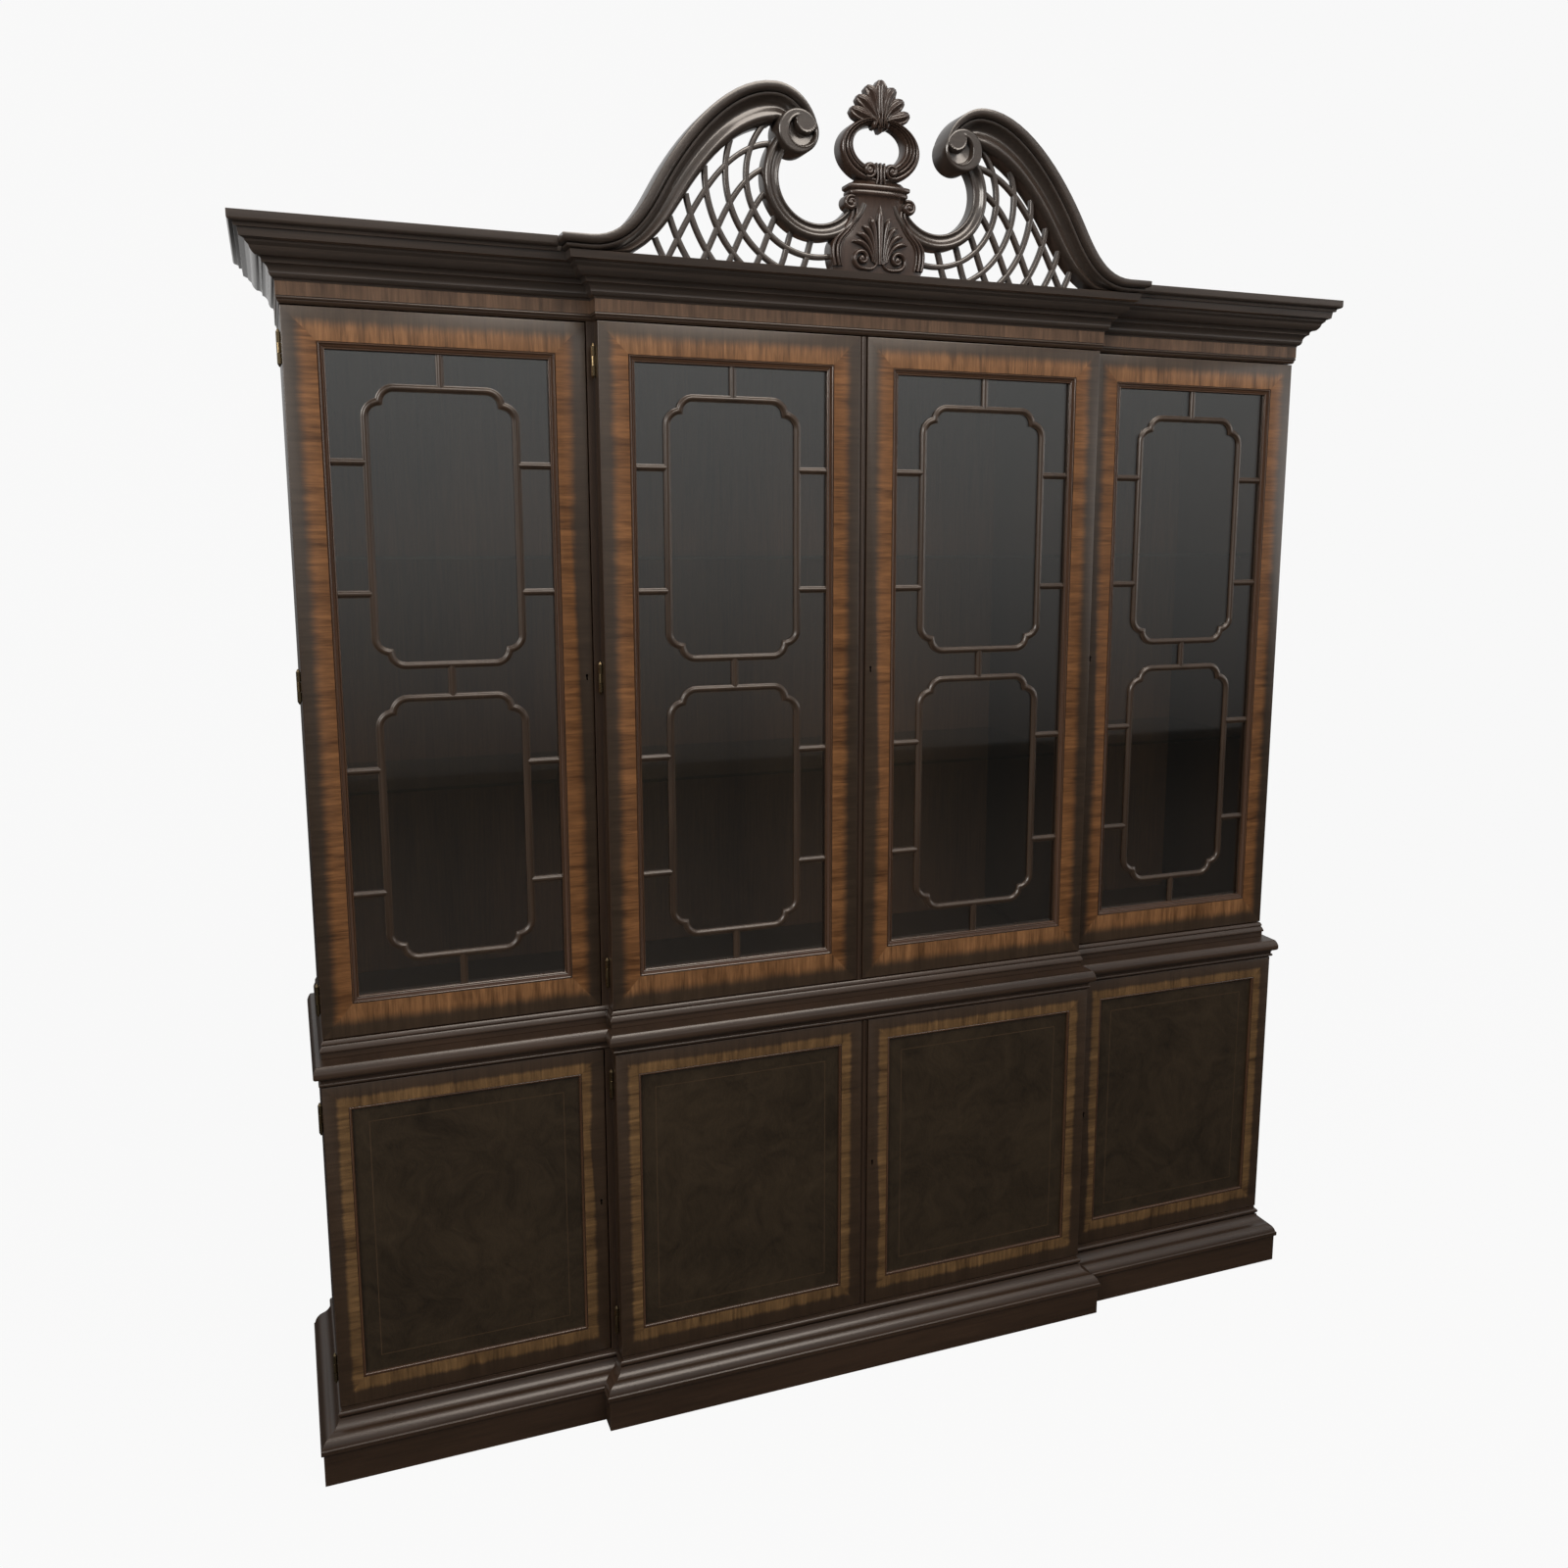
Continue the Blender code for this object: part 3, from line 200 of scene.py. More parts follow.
backdrop_finish, tree = new_finish("backdrop")
matt = tree.nodes["Principled BSDF"]
matt.inputs["Base Color"].default_value = (*backdrop_white, 1)
matt.inputs["Roughness"].default_value = backdrop_rough
matt.inputs["Specular IOR Level"].default_value = backdrop_shine
glow = node(tree, "Emission", inputs={"Color": (1, 1, 1, 1), "Strength": 1.0})
straight, reflected = seen(tree)
level = height_of(tree, "NewGeometry", "Normal")
lifted = node(tree, "MixShader", inputs={
    0: straight * backdrop_lift + reflected * (1 - level) * wall_in_gloss,
    1: Tone(matt.outputs[0]), 2: glow})
dark = node(tree, "Emission", inputs={"Color": (0, 0, 0, 1), "Strength": 0.0})
dimmed = node(tree, "MixShader", inputs={0: reflected * level * floor_gloss_dim,
                                         1: lifted, 2: dark})
tree.links.new(dimmed.socket, tree.nodes["Material Output"].inputs["Surface"])

shape = bmesh.new()
sweep = [(sweep_front, 0), (wall_y - sweep_bend, 0)]
sweep += [(wall_y - sweep_bend + sweep_bend * math.sin(a), sweep_bend * (1 - math.cos(a)))
          for a in (math.pi / 2 * i / sweep_steps for i in range(1, sweep_steps + 1))]
sweep += [(wall_y, wall_top)]
rows = [[shape.verts.new((x, y, z)) for x in (-sweep_half, sweep_half)] for y, z in sweep]
for low, high in zip(rows, rows[1:]):
    shape.faces.new((low[0], low[1], high[1], high[0]))
mesh = bpy.data.meshes.new("backdrop")
shape.to_mesh(mesh)
shape.free()
mesh.shade_smooth()
mesh.materials.append(backdrop_finish)
backdrop = bpy.data.objects.new("backdrop", mesh)
bpy.context.scene.collection.objects.link(backdrop)

for name, place, aim, watts, colour in (
        ("window_light", (-4.2, -3.6, 3.6), (0.2, 0, 1.3), 185, (1.0, 0.95, 0.89)),
        ("top_light", (0.6, -2.6, 4.6), (0, 0, 1.5), 118, (1.0, 0.90, 0.80)),
        ("fill_light", (5.6, -2.6, 2.4), (0, 0, 1.1), 46, (1.0, 0.96, 0.92))):
    lamp = bpy.data.lights.new(name, "AREA")
    lamp.size, lamp.energy, lamp.color = lamp_size, watts, colour
    stand = bpy.data.objects.new(name, lamp)
    bpy.context.scene.collection.objects.link(stand)
    stand.location = place
    stand.rotation_euler = (Vector(aim) - Vector(place)).to_track_quat("-Z", "Y").to_euler()


# Plinth
# The moulded foot: a plain fascia, a lip, a long ogee slope and a bead, mitred round the
# breakfront. Solid mahogany, French polished, run the length of each front and glued up.
def noise(tree, place, scale, detail, rough=0.5, bend=0.0, out=0):
    """Noise over a piece; a scale for each axis stretches it."""
    if isinstance(scale, tuple):
        place = node(tree, "VectorMath", {"operation": "MULTIPLY"}, {0: place, 1: scale})
        scale = 1.0
    return node(tree, "TexNoise", inputs={"Vector": place, "Scale": scale, "Detail": detail,
                                          "Roughness": rough, "Distortion": bend}, out=out)


def with_grain(run, across, along):
    """Scales for the three axes, with the grain along x, y or z."""
    return tuple(along if axis == run else across for axis in "xyz")


def toned(tree, depth, dark, light, low, middle, high):
    """A colour that goes from dark to light as the depth goes from low to high."""
    medium = [(a + b) / 2 for a, b in zip(dark, light)]
    return node(tree, "ValToRGB", {"stops": [(low, dark), (middle, medium), (high, light)]},
                {0: depth})


def blend(tree, share, first, second):
    """Mix two colours, which may be plain ones."""
    first, second = (tone if isinstance(tone, Tone) else (*tone, 1) for tone in (first, second))
    return node(tree, "Mix", {"data_type": "RGBA"}, {0: share, 6: first, 7: second}, out=2)


def shaded(colour, share):
    """A plain colour made darker or lighter."""
    return [channel * share for channel in colour]


polish_shine, coat_rough, polish_bump = 0.5, 0.14, 0.35


def polish(tree, colour, roughness, height, coat, depth=0.00022):
    """Join the colour, sheen and surface texture to the shader."""
    shader = tree.nodes["Principled BSDF"]
    bump = node(tree, "Bump", inputs={"Strength": polish_bump, "Distance": depth,
                                      "Height": height})
    for name, value in (("Base Color", colour), ("Roughness", roughness), ("Normal", bump)):
        tree.links.new(value.socket, shader.inputs[name])
    for name, value in (("Coat Weight", coat), ("Specular IOR Level", polish_shine),
                        ("Coat Roughness", coat_rough)):
        shader.inputs[name].default_value = value


# The colour painted into hollows stands for old wax and dust, and also for painted shade.
grime_and_shade_colour, edge_radius, hollow_reach = (0.006, 0.004, 0.003), 0.0012, 0.012
figure_span, pore_span, rubbed_span = (0.30, 0.52, 0.74), (0.62, 0.72), (0.02, 0.22)
open_span, grime_and_shade_span, most_grime_and_shade, pore_dark = (0.55, 0.9), (0.15, 0.8), 0.75, 0.35


def wood(name, run, dark, light, rough=0.30, coat=0.24, worn=(0.11, 0.072, 0.05), wear=0.7):
    """Polished timber whose grain runs along x, y or z; edges rub lighter, and hollows are painted
    darker, as old wax and dust and as painted shade.
    """
    finish, tree = new_finish(name)
    place = node(tree, "TexCoord", out="Object")
    figure = noise(tree, place, with_grain(run, across=14, along=1.6), detail=4, rough=0.6)
    fine = noise(tree, place, with_grain(run, across=240, along=7), detail=5, rough=0.7)
    pores = noise(tree, place, with_grain(run, across=1500, along=60), detail=2, rough=0.6)
    body = toned(tree, figure * 0.45 + fine * 0.55, dark, light, *figure_span)
    open_pores = between(tree, pores, *pore_span)
    body = blend(tree, open_pores * 0.5, body, shaded(dark, pore_dark))
    rounded = node(tree, "Bevel", {"samples": 4}, {"Radius": edge_radius})
    facing = node(tree, "NewGeometry", out="Normal")
    edge = 1 - node(tree, "VectorMath", {"operation": "DOT_PRODUCT"}, {0: rounded, 1: facing},
                    out="Value")
    hollow = node(tree, "AmbientOcclusion", {"samples": 4, "only_local": True},
                  {"Distance": hollow_reach}, out="AO")
    rubbed = between(tree, edge * (fine + 0.35), *rubbed_span)
    open_edge = between(tree, hollow, *open_span)
    body = blend(tree, rubbed * open_edge * wear, body, worn)
    # Hollows found by ambient occlusion are painted darker: part wax and dust, part painted shade.
    grime_and_shade = between(tree, hollow, *grime_and_shade_span, most_grime_and_shade, 0.0)
    body = blend(tree, grime_and_shade, body, grime_and_shade_colour)
    polish(tree, body, rough + figure * 0.10 + grime_and_shade * 0.2 + open_pores * 0.08,
           pores * -0.6 + fine * 0.4, coat)
    return finish


def bowed(points, steps=7):
    """A section line; a third number on a point bows the run to the next (+ is rounded out)."""
    line = []
    for (p, z, *bulge), (q, w, *_) in zip(points, points[1:]):
        line.append((p, z))
        if bulge:
            start, chord = complex(p, z), complex(q - p, w - z)
            centre = start + chord / 2 + 1j * chord * (1 - bulge[0] ** 2) / (4 * bulge[0])
            for i in range(1, steps):
                point = centre + (start - centre) * cmath.exp(
                    4j * math.atan(bulge[0]) * i / steps)
                line.append((point.real, point.imag))
    line.append(tuple(points[-1][:2]))
    return line


def skin(shape, rows, closed=False, finish_of=lambda i, j: 0):
    """Skin rows of points into faces; open runs are capped at both ends."""
    rings = [[shape.verts.new(point) for point in row] for row in rows]
    pairs = list(zip(rings, rings[1:])) + ([(rings[-1], rings[0])] if closed else [])
    for i, (near, far) in enumerate(pairs):
        for j in range(len(near)):
            k = (j + 1) % len(near)
            side = shape.faces.new((near[j], near[k], far[k], far[j]))
            side.material_index = finish_of(i, j)
    if not closed:
        shape.faces.new(rings[0])
        shape.faces.new(rings[-1])
    return rings


def fit(name, shape, body, slot, finishes, *replaced, sharp=32):
    """Make a named piece from a shape, finish it and fix it to the body that carries it."""
    bmesh.ops.recalc_face_normals(shape, faces=shape.faces[:])
    mesh = bpy.data.meshes.new(name)
    shape.to_mesh(mesh)
    shape.free()
    for finish in finishes:
        mesh.materials.append(finish)
    mesh.shade_smooth()
    mesh.set_sharp_from_angle(angle=math.radians(sharp))
    piece = bpy.data.objects.new(name, mesh)
    bpy.context.scene.collection.objects.link(piece)
    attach(piece, body)
    if replaced:
        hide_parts(*replaced)
    return piece


def ease(piece, width, angle=38):
    """Take the sharpness off a piece's arrises, as sanding and polish do."""
    step = piece.modifiers.new("eased_edges", "BEVEL")
    step.width, step.segments, step.limit_method = width, 2, "ANGLE"
    step.angle_limit = math.radians(angle)
    step.harden_normals = True
    return piece


front_y, back_y = -0.13125, 0.23775      # front face of the deck's wing doors, cabinet's back
board, arris, foot_arris = 0.019, 0.0006, 0.0009    # thickness of the timber, eased edges
break_step, base_step = 0.038, 0.032     # middle bay before the wings, base before the deck
deck_plan = (1.000, 0.499, front_y)      # half width, half of the middle bay, wing face
base_plan = (1.007, 0.503, front_y - base_step)
plans = {"base": base_plan, "deck": deck_plan}


def breakfront(plan, reach, back=0.0):
    """Corners of the case outline, standing out by the reach, from the left back round."""
    half, bay, face = plan
    side, inner, wing = half + reach, bay + reach, face - reach
    return [(-side, back_y - back), (-side, wing), (-inner, wing), (-inner, wing - break_step),
            (inner, wing - break_step), (inner, wing), (side, wing), (side, back_y - back)]


def run_moulding(name, plan, line, finishes, replaced, wall, slot="mahogany",
                 finish_of=lambda i, j: i % 2):
    """A hollow moulding mitred round the breakfront, with a plain inner wall."""
    shape = bmesh.new()
    section = [(reach, z, 0.0) for reach, z in line] + list(wall)
    rows = [[(*breakfront(plan, reach, back)[corner], z) for reach, z, back in section]
            for corner in range(8)]
    skin(shape, rows, closed=True, finish_of=finish_of)
    return fit(name, shape, "case", slot, finishes, replaced)


def moulded_board(name, plan, line, replaced):
    """A solid board with a moulded edge worked round the breakfront."""
    shape = bmesh.new()
    rows = [[(x, y, z) for x, y in breakfront(plan, reach)] for reach, z in line]
    skin(shape, rows, finish_of=lambda i, j: j % 2)
    return ease(fit(name, shape, "case", "mahogany", (along_y, along_x), replaced), arris)


mahogany_dark, mahogany_light = (0.0140, 0.0078, 0.0043), (0.0455, 0.0248, 0.0140)
along_x = wood("mahogany_along", "x", mahogany_dark, mahogany_light)
along_y = wood("mahogany_returns", "y", mahogany_dark, mahogany_light)
upright = wood("mahogany_upright", "z", mahogany_dark, mahogany_light)

plinth_top = 0.1240
plinth_line = bowed([
    (0.0325, 0.0), (0.0325, 0.0600), (0.0323, 0.0602, 0.55), (0.0367, 0.0640), (0.0367, 0.0697),
    (0.0345, 0.0712, 0.28), (0.0190, 0.0890, -0.30), (0.0030, 0.1062), (-0.0008, 0.1072),
    (-0.0008, 0.1086, 0.9), (0.0010, 0.1184), (-0.0015, 0.1190), (-0.0015, plinth_top)])
ledge_top, ledge_low, ledge_reach, foot_wall = 0.1047, 0.0887, 0.031, 0.0125
plinth = run_moulding("plinth_moulding", base_plan, plinth_line, (along_y, along_x), "plinth", (
    (-board, plinth_top, board), (-board, ledge_top, board), (-ledge_reach, ledge_top, ledge_reach),
    (-ledge_reach, ledge_low, ledge_reach), (foot_wall, ledge_low, board), (foot_wall, 0.0, board)))
ease(plinth, foot_arris)


# Cupboard and deck carcase
# Sides and partitions of solid mahogany with brass butts let into their front edges and brass
# pegs for the glass shelves; plainer timber for the floors, backs, cleats and dust board.
door_and_gap, hair = 0.025, 0.0002       # door face to the board behind it; a hair's width
peg_depth = 0.08                         # pegs lie further back than this
brass_colour, brass_rough, tarnish_scale = (0.36, 0.27, 0.15), 0.28, 180.0


def brassed(name, dark, light, front_edge, inner=None, outer=None):
    """Upright timber with brass hinges before its edge and pegs beyond its two faces."""
    finish = wood(name, "z", dark, light)
    tree = finish.node_tree
    shader = tree.nodes["Principled BSDF"]
    place = node(tree, "TexCoord", out="Object")
    x, y = (node(tree, "SeparateXYZ", inputs={0: place}, out=axis) for axis in "XY")
    width = node(tree, "Math", {"operation": "ABSOLUTE"}, {0: x})
    is_brass, behind = y < front_edge, y > front_edge + peg_depth
    if inner is not None:
        is_brass = is_brass + (width < inner) * behind
    if outer is not None:
        is_brass = is_brass + (width > outer) * behind
    is_brass = node(tree, "Math", {"operation": "MINIMUM"}, {0: is_brass, 1: 1.0})
    tarnish = noise(tree, place, tarnish_scale, detail=4)
    bright = blend(tree, tarnish, brass_colour, shaded(brass_colour, 0.45))
    timber, sheen = (Tone(shader.inputs[socket].links[0].from_socket)
                     for socket in ("Base Color", "Roughness"))
    rough = sheen * (1 - is_brass) + is_brass * (tarnish * 0.2 + (brass_rough - 0.1))
    for socket, value in (("Base Color", blend(tree, is_brass, timber, bright)),
                          ("Roughness", rough), ("Metallic", is_brass)):
        tree.links.new(value.socket, shader.inputs[socket])
    return finish


def refinish(names, finish):
    """Give solids of the frame another finish."""
    for name in names:
        for slot in frame["nodes"][name].material_slots:
            slot.material = finish


for tier, (half, middle, face) in plans.items():
    side_edge = face + door_and_gap - 2 * hair
    side_pegs, inner_pegs, outer_pegs = (
        (half - board - hair, middle - board - hair, middle + hair) if tier == "deck"
        else (None, None, None))
    refinish([f"{tier}_side_left", f"{tier}_side_right"],
             brassed(f"{tier}_side_mahogany", mahogany_dark, mahogany_light, side_edge, side_pegs))
    refinish([f"{tier}_partition_left", f"{tier}_partition_right"],
             brassed(f"{tier}_partition_mahogany", mahogany_dark, mahogany_light,
                     side_edge - break_step, inner_pegs, outer_pegs))
inside_dark, inside_light = (0.055, 0.026, 0.0150), (0.150, 0.076, 0.043)
for run, word, names in (
        ("z", "upright", ("base_back", "deck_back")),
        ("x", "along", ("base_bottom", "base_shelf_left", "base_shelf_centre",
                        "base_shelf_right", "deck_top"))):
    refinish(names, wood(f"inside_{word}", run, inside_dark, inside_light, rough=0.5, coat=0.05))


# Waist
# Two moulded boards: the cupboard's top with a bead, a hollow and a broad nosing, and the
# deck's floor with a stout bead and a smaller one above it. Solid mahogany, mitred.
base_top_line = bowed([
    (-0.0018, 0.7350), (0.0004, 0.7354, 0.8), (0.0030, 0.7412), (0.0012, 0.7424),
    (0.0012, 0.7432, -0.42), (0.0092, 0.7508), (0.0100, 0.7514, 0.30), (0.0124, 0.7570),
    (0.0124, 0.7622), (0.0118, 0.7634, 0.10), (0.0072, 0.7728), (0.0060, 0.7738),
    (-0.0012, 0.7740)])
moulded_board("cupboard_top", base_plan, base_top_line, "base_top")
deck_base_line = bowed([
    (0.0040, 0.7743), (0.0040, 0.7850), (0.0062, 0.7858), (0.0066, 0.7874, 0.10),
    (0.0026, 0.7968), (0.0012, 0.7976), (0.0030, 0.7984), (0.0034, 0.7996, 0.12),
    (0.0006, 0.8056), (0.0000, 0.8063)])
moulded_board("deck_floor", deck_plan, deck_base_line, "deck_base")


# Frieze
# A frame of mahogany faced with a band of satinwood, its figure standing upright, over a dark
# bead worked in the solid. It is mitred round the breakfront and glued up.
band_span, smoke_span, smoke_shades = (0.37, 0.50, 0.62), (0.3, 0.7), (0.55, 1.35)
band_coat, veneer_depth = 0.06, 0.00012


def banding(name, run, dark, light, burnt=None, burn_from=0.0, burn_to=0.0):
    """Cross-cut veneer with its streaks along x or z, burnt dark towards an outer edge."""
    finish, tree = new_finish(name)
    place = node(tree, "TexCoord", out="Object")
    broad, ripple, fine = (
        noise(tree, place, with_grain(run, across, along), detail, 0.62, bend)
        for across, along, detail, bend in ((45, 9, 3, 0.3), (210, 14, 4, 0.2), (900, 30, 3, 0)))
    depth = broad * 0.40 + ripple * 0.42 + fine * 0.18
    colour = toned(tree, depth, dark, light, *band_span)
    if burnt:
        across = node(tree, "Attribute", {"attribute_name": "across"}, out="Fac")
        edge = across + (broad - 0.5) * 0.009 + (ripple - 0.5) * 0.004
        clear = between(tree, edge, burn_from, burn_to, curve="SMOOTHSTEP")
        stops = [(place, shaded(burnt, share)) for place, share in zip(smoke_span, smoke_shades)]
        smoke = node(tree, "ValToRGB", {"stops": stops}, {0: depth})
        colour = blend(tree, clear, smoke, colour)
    polish(tree, colour, 0.30 + ripple * 0.12, fine, band_coat, depth=veneer_depth)
    return finish


frieze_veneer = banding("frieze_veneer", "z", (0.034, 0.0175, 0.0090), (0.112, 0.063, 0.0355))
frieze_low, frieze_high, bead_high = 2.0418, 2.0753, 2.0533
frieze_line = bowed([
    (0.0000, frieze_low), (0.0008, 2.0420), (0.0012, 2.0428, 0.2), (0.0030, 2.0480),
    (0.0040, 2.0484, 0.3), (0.0046, 2.0524), (0.0036, 2.0527), (0.0036, bead_high),
    (0.0050, 2.0537), (0.0050, frieze_high)])
bead_rows = sum(1 for reach, z in frieze_line if z <= bead_high)
back_run = 7                             # the eighth run closes the outline behind


def frieze_finish(i, j):
    """Veneer above the bead; timber on the bead, the inner wall and the back."""
    if i == back_run or j < bead_rows - 1 or j > len(frieze_line) - 2:
        return i % 2
    return 2


run_moulding("frieze_band", deck_plan, frieze_line, (along_y, along_x, frieze_veneer), "frieze",
             ((-board, frieze_high, board), (-board, frieze_low, board)), "satinwood",
             frieze_finish)


# Cornice
# Stacked mouldings: cyma, fillet, cove, fillets and a plain top rail. The middle of its top is
# notched so that the pediment stands in it. Solid mahogany, mitred round the breakfront.
# The crown timber is drawn greyer than the mahogany below it. This is a painted sheen for the
# reflected light that greys the upper mouldings; its heavy coat adds real gloss as well.
crown_dark, crown_light = (0.0158, 0.0112, 0.0086), (0.049, 0.0348, 0.0268)
crown_along = wood("crown_along", "x", crown_dark, crown_light, coat=1.0)
crown_returns = wood("crown_returns", "y", crown_dark, crown_light, coat=1.0)
crown_low, crown_top, crown_reach, crown_wall = 2.0756, 2.1676, 0.0685, 0.012
cornice_line = bowed([
    (0.0055, crown_low), (0.0062, 2.0785, 0.35), (0.0125, 2.0850), (0.0132, 2.0857, -0.30),
    (0.0200, 2.0990), (0.0225, 2.1000), (0.0232, 2.1050, -0.28), (0.0310, 2.1085, 0.22),
    (0.0395, 2.1214), (0.0446, 2.1262), (0.0452, 2.1290), (0.0528, 2.1323), (0.0545, 2.1446),
    (0.0590, 2.1452), (0.0600, 2.1500), (0.0640, 2.1515, 0.35), (crown_reach, 2.1562),
    (crown_reach, crown_top)])
cornice = run_moulding(
    "cornice_moulding", deck_plan, cornice_line, (crown_returns, crown_along), "cornice",
    ((-crown_wall, crown_top, crown_wall), (-crown_wall, crown_low, crown_wall)))


def block(shape, x0, x1, y0, y1, z0, z1, finish=0):
    """Add a rectangular block between three pairs of planes."""
    made = bmesh.ops.create_cube(shape, size=1, matrix=Matrix.LocRotScale(
        ((x0 + x1) / 2, (y0 + y1) / 2, (z0 + z1) / 2), None,
        (abs(x1 - x0), abs(y1 - y0), abs(z1 - z0))))
    for side in {side for vert in made["verts"] for side in vert.link_faces}:
        side.material_index = finish


def cut_away(piece, shape):
    """Cut a shape out of a piece and keep the result as its mesh."""
    mesh = bpy.data.meshes.new("cutter")
    shape.to_mesh(mesh)
    shape.free()
    tool = bpy.data.objects.new("cutter", mesh)
    bpy.context.scene.collection.objects.link(tool)
    step = piece.modifiers.new("cut", "BOOLEAN")
    step.object, step.operation = tool, "DIFFERENCE"
    bpy.context.view_layer.update()
    done = bpy.data.meshes.new_from_object(
        piece.evaluated_get(bpy.context.evaluated_depsgraph_get()))
    piece.modifiers.remove(step)
    piece.data = done
    bpy.data.objects.remove(tool, do_unlink=True)


seat_gap, notch_back, cut_over = 0.0003, 0.021, 0.05
notch_half = deck_plan[1] + crown_reach + seat_gap
shape = bmesh.new()
block(shape, -notch_half, notch_half, front_y - crown_reach - break_step - cut_over,
      front_y - notch_back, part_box("finial")[0].z - seat_gap, crown_top + cut_over)
cut_away(cornice, shape)
ease(cornice, arris)


# Door frames
# Mitred frames faced with cross-cut veneer, golden inside and burnt almost black outside, with
# a dark moulding round the opening. Each swings on brass butts; four doors to a tier.
burnt_edge = (0.0155, 0.0345)            # distances from the frame's edge: burnt, clear
base_burnt_edge = (0.0200, 0.0275)
stile_gold = banding("stile_banding", "x", (0.050, 0.0195, 0.0055), (0.182, 0.080, 0.0270),
                     (0.0300, 0.0190, 0.0115), *burnt_edge)
rail_gold = banding("rail_banding", "z", (0.060, 0.0260, 0.0085), (0.225, 0.108, 0.0430),
                    (0.0385, 0.0238, 0.0138), *burnt_edge)
mould_dark, mould_light = (0.026, 0.0124, 0.0066), (0.082, 0.0390, 0.0190)
mould_upright, mould_along = (
    wood(f"door_moulding_{word}", run, mould_dark, mould_light, rough=0.22, coat=0.5)
    for word, run in (("upright", "z"), ("along", "x")))
base_gold = {axis: banding(f"cupboard_banding_{axis}", axis, (0.041, 0.0215, 0.0082),
                           (0.146, 0.082, 0.032), (0.032, 0.0185, 0.0100), *base_burnt_edge)
             for axis in "xz"}
Door = namedtuple("Door", "tier word left right low high face hinge_side lock_side")
door_heights = {"base": (0.126, 0.733), "deck": (0.8083, 2.0398)}
wing_gap, meeting_left, meeting_right = 0.014, -0.0133, 0.001
doors = []
for tier, (half, middle, face) in plans.items():
    for word, left, right, forward, hinge_side, lock_side in (
            ("wing_left", -half, -middle - wing_gap, 0, -1, 1),
            ("centre_left", -middle, meeting_left, break_step, -1, 0),
            ("centre_right", meeting_right, middle, break_step, 1, -1),
            ("wing_right", middle + wing_gap, half, 0, 1, -1)):
        doors.append(Door(tier, word, left, right, *door_heights[tier], face - forward,
                          hinge_side, lock_side))
base_doors = [door for door in doors if door.tier == "base"]
deck_doors = [door for door in doors if door.tier == "deck"]

frame_thick, panel_groove = 0.0220, 0.007
deck_face_line = [(0.0, frame_thick), (0.0, 0.0012), (0.0004, 0.0004), (0.0012, 0.0),
                  (0.0520, 0.0)]
deck_mould_line = [(0.0120, 0.0), (0.0119, 0.0012), (0.0113, 0.0014), (0.0110, 0.0006),
                   (0.0103, -0.0002), (0.0094, -0.0003), (0.0086, 0.0003), (0.0082, 0.0014),
                   (0.0078, 0.0022), (0.0070, 0.0026), (0.0058, 0.0029), (0.0046, 0.0033),
                   (0.0036, 0.0039), (0.0030, 0.0046), (0.0027, 0.0040), (0.0020, 0.0034),
                   (0.0012, 0.0034), (0.0004, 0.0040), (0.0, 0.0052)]
base_face_line = deck_face_line[:-1] + [(0.0420, 0.0)]
base_mould_line = [(0.0050, 0.0), (0.0049, 0.0012), (0.0044, 0.0014), (0.0041, 0.0008),
                   (0.0034, 0.0002), (0.0025, 0.0000), (0.0015, 0.0003), (0.0007, 0.0011),
                   (0.0001, 0.0024), (0.0, 0.0032)]


def frame_rows(door, sizes, face_line, mould_line, groove):
    """Rectangles of a mitred frame's section, front to back, with each row's distance across."""
    stile, top, bottom, moulding = sizes
    sight = (door.left + stile + moulding, door.right - stile - moulding,
             door.low + bottom + moulding, door.high - top - moulding)
    rows = [((door.left + step, door.right - step, door.low + step, door.high - step), depth, step)
            for step, depth in face_line[:-1]]
    groove_front, groove_back = groove
    inner = list(mould_line) + [(0.0, groove_front), (panel_groove, groove_front),
                                (panel_groove, groove_back), (0.0, groove_back),
                                (0.0, frame_thick)]
    rows += [((sight[0] - step, sight[1] + step, sight[2] - step, sight[3] + step), depth,
              stile + moulding - step) for step, depth in inner]
    loops = [[(left, door.face + depth, low), (right, door.face + depth, low),
              (right, door.face + depth, high), (left, door.face + depth, high)]
             for (left, right, low, high), depth, _ in rows]
    return loops, [across for *_, across in rows], sight


keyhole_inset, hole_lead, hole_depth, hole_steps = 0.011, 0.004, 0.040, 14


def keyhole_cutter(x, z, face, radius=0.0024, slit=0.0013, rise=0.0045):
    """A round hole over a slit, right through the frame."""
    shape = bmesh.new()
    outline = [(x + radius * math.sin(a), z + rise + radius * math.cos(a))
               for a in (math.radians(-145 + 290 * i / hole_steps) for i in range(hole_steps + 1))]
    outline += [(x + slit, z - rise), (x - slit, z - rise)]
    front = shape.faces.new([shape.verts.new((px, face - hole_lead, pz)) for px, pz in outline])
    pulled = bmesh.ops.extrude_face_region(shape, geom=[front])["geom"]
    bmesh.ops.translate(shape, verts=[v for v in pulled if isinstance(v, bmesh.types.BMVert)],
                        vec=(0, hole_depth, 0))
    bmesh.ops.recalc_face_normals(shape, faces=shape.faces[:])
    return shape


# For each tier: the widths of stile, top rail, bottom rail and moulding, two lines, the groove.
frame_parts = {
    "deck": ((0.052, 0.053, 0.059, 0.012), deck_face_line, deck_mould_line, (0.0114, 0.0153)),
    "base": ((0.042, 0.042, 0.050, 0.005), base_face_line, base_mould_line, (0.0057, 0.0126))}
veneers = {"deck": (stile_gold, rail_gold), "base": (base_gold["x"], base_gold["z"])}
sights = {}


def frame_finish(flat, mouldings):
    """Plain wood, then veneer on the flat, then the moulding; rails have the odd numbers."""
    def choose(i, j):
        group = 1 if i == flat else 2 if flat < i < flat + mouldings else 0
        return 2 * group + (1 - j % 2)
    return choose


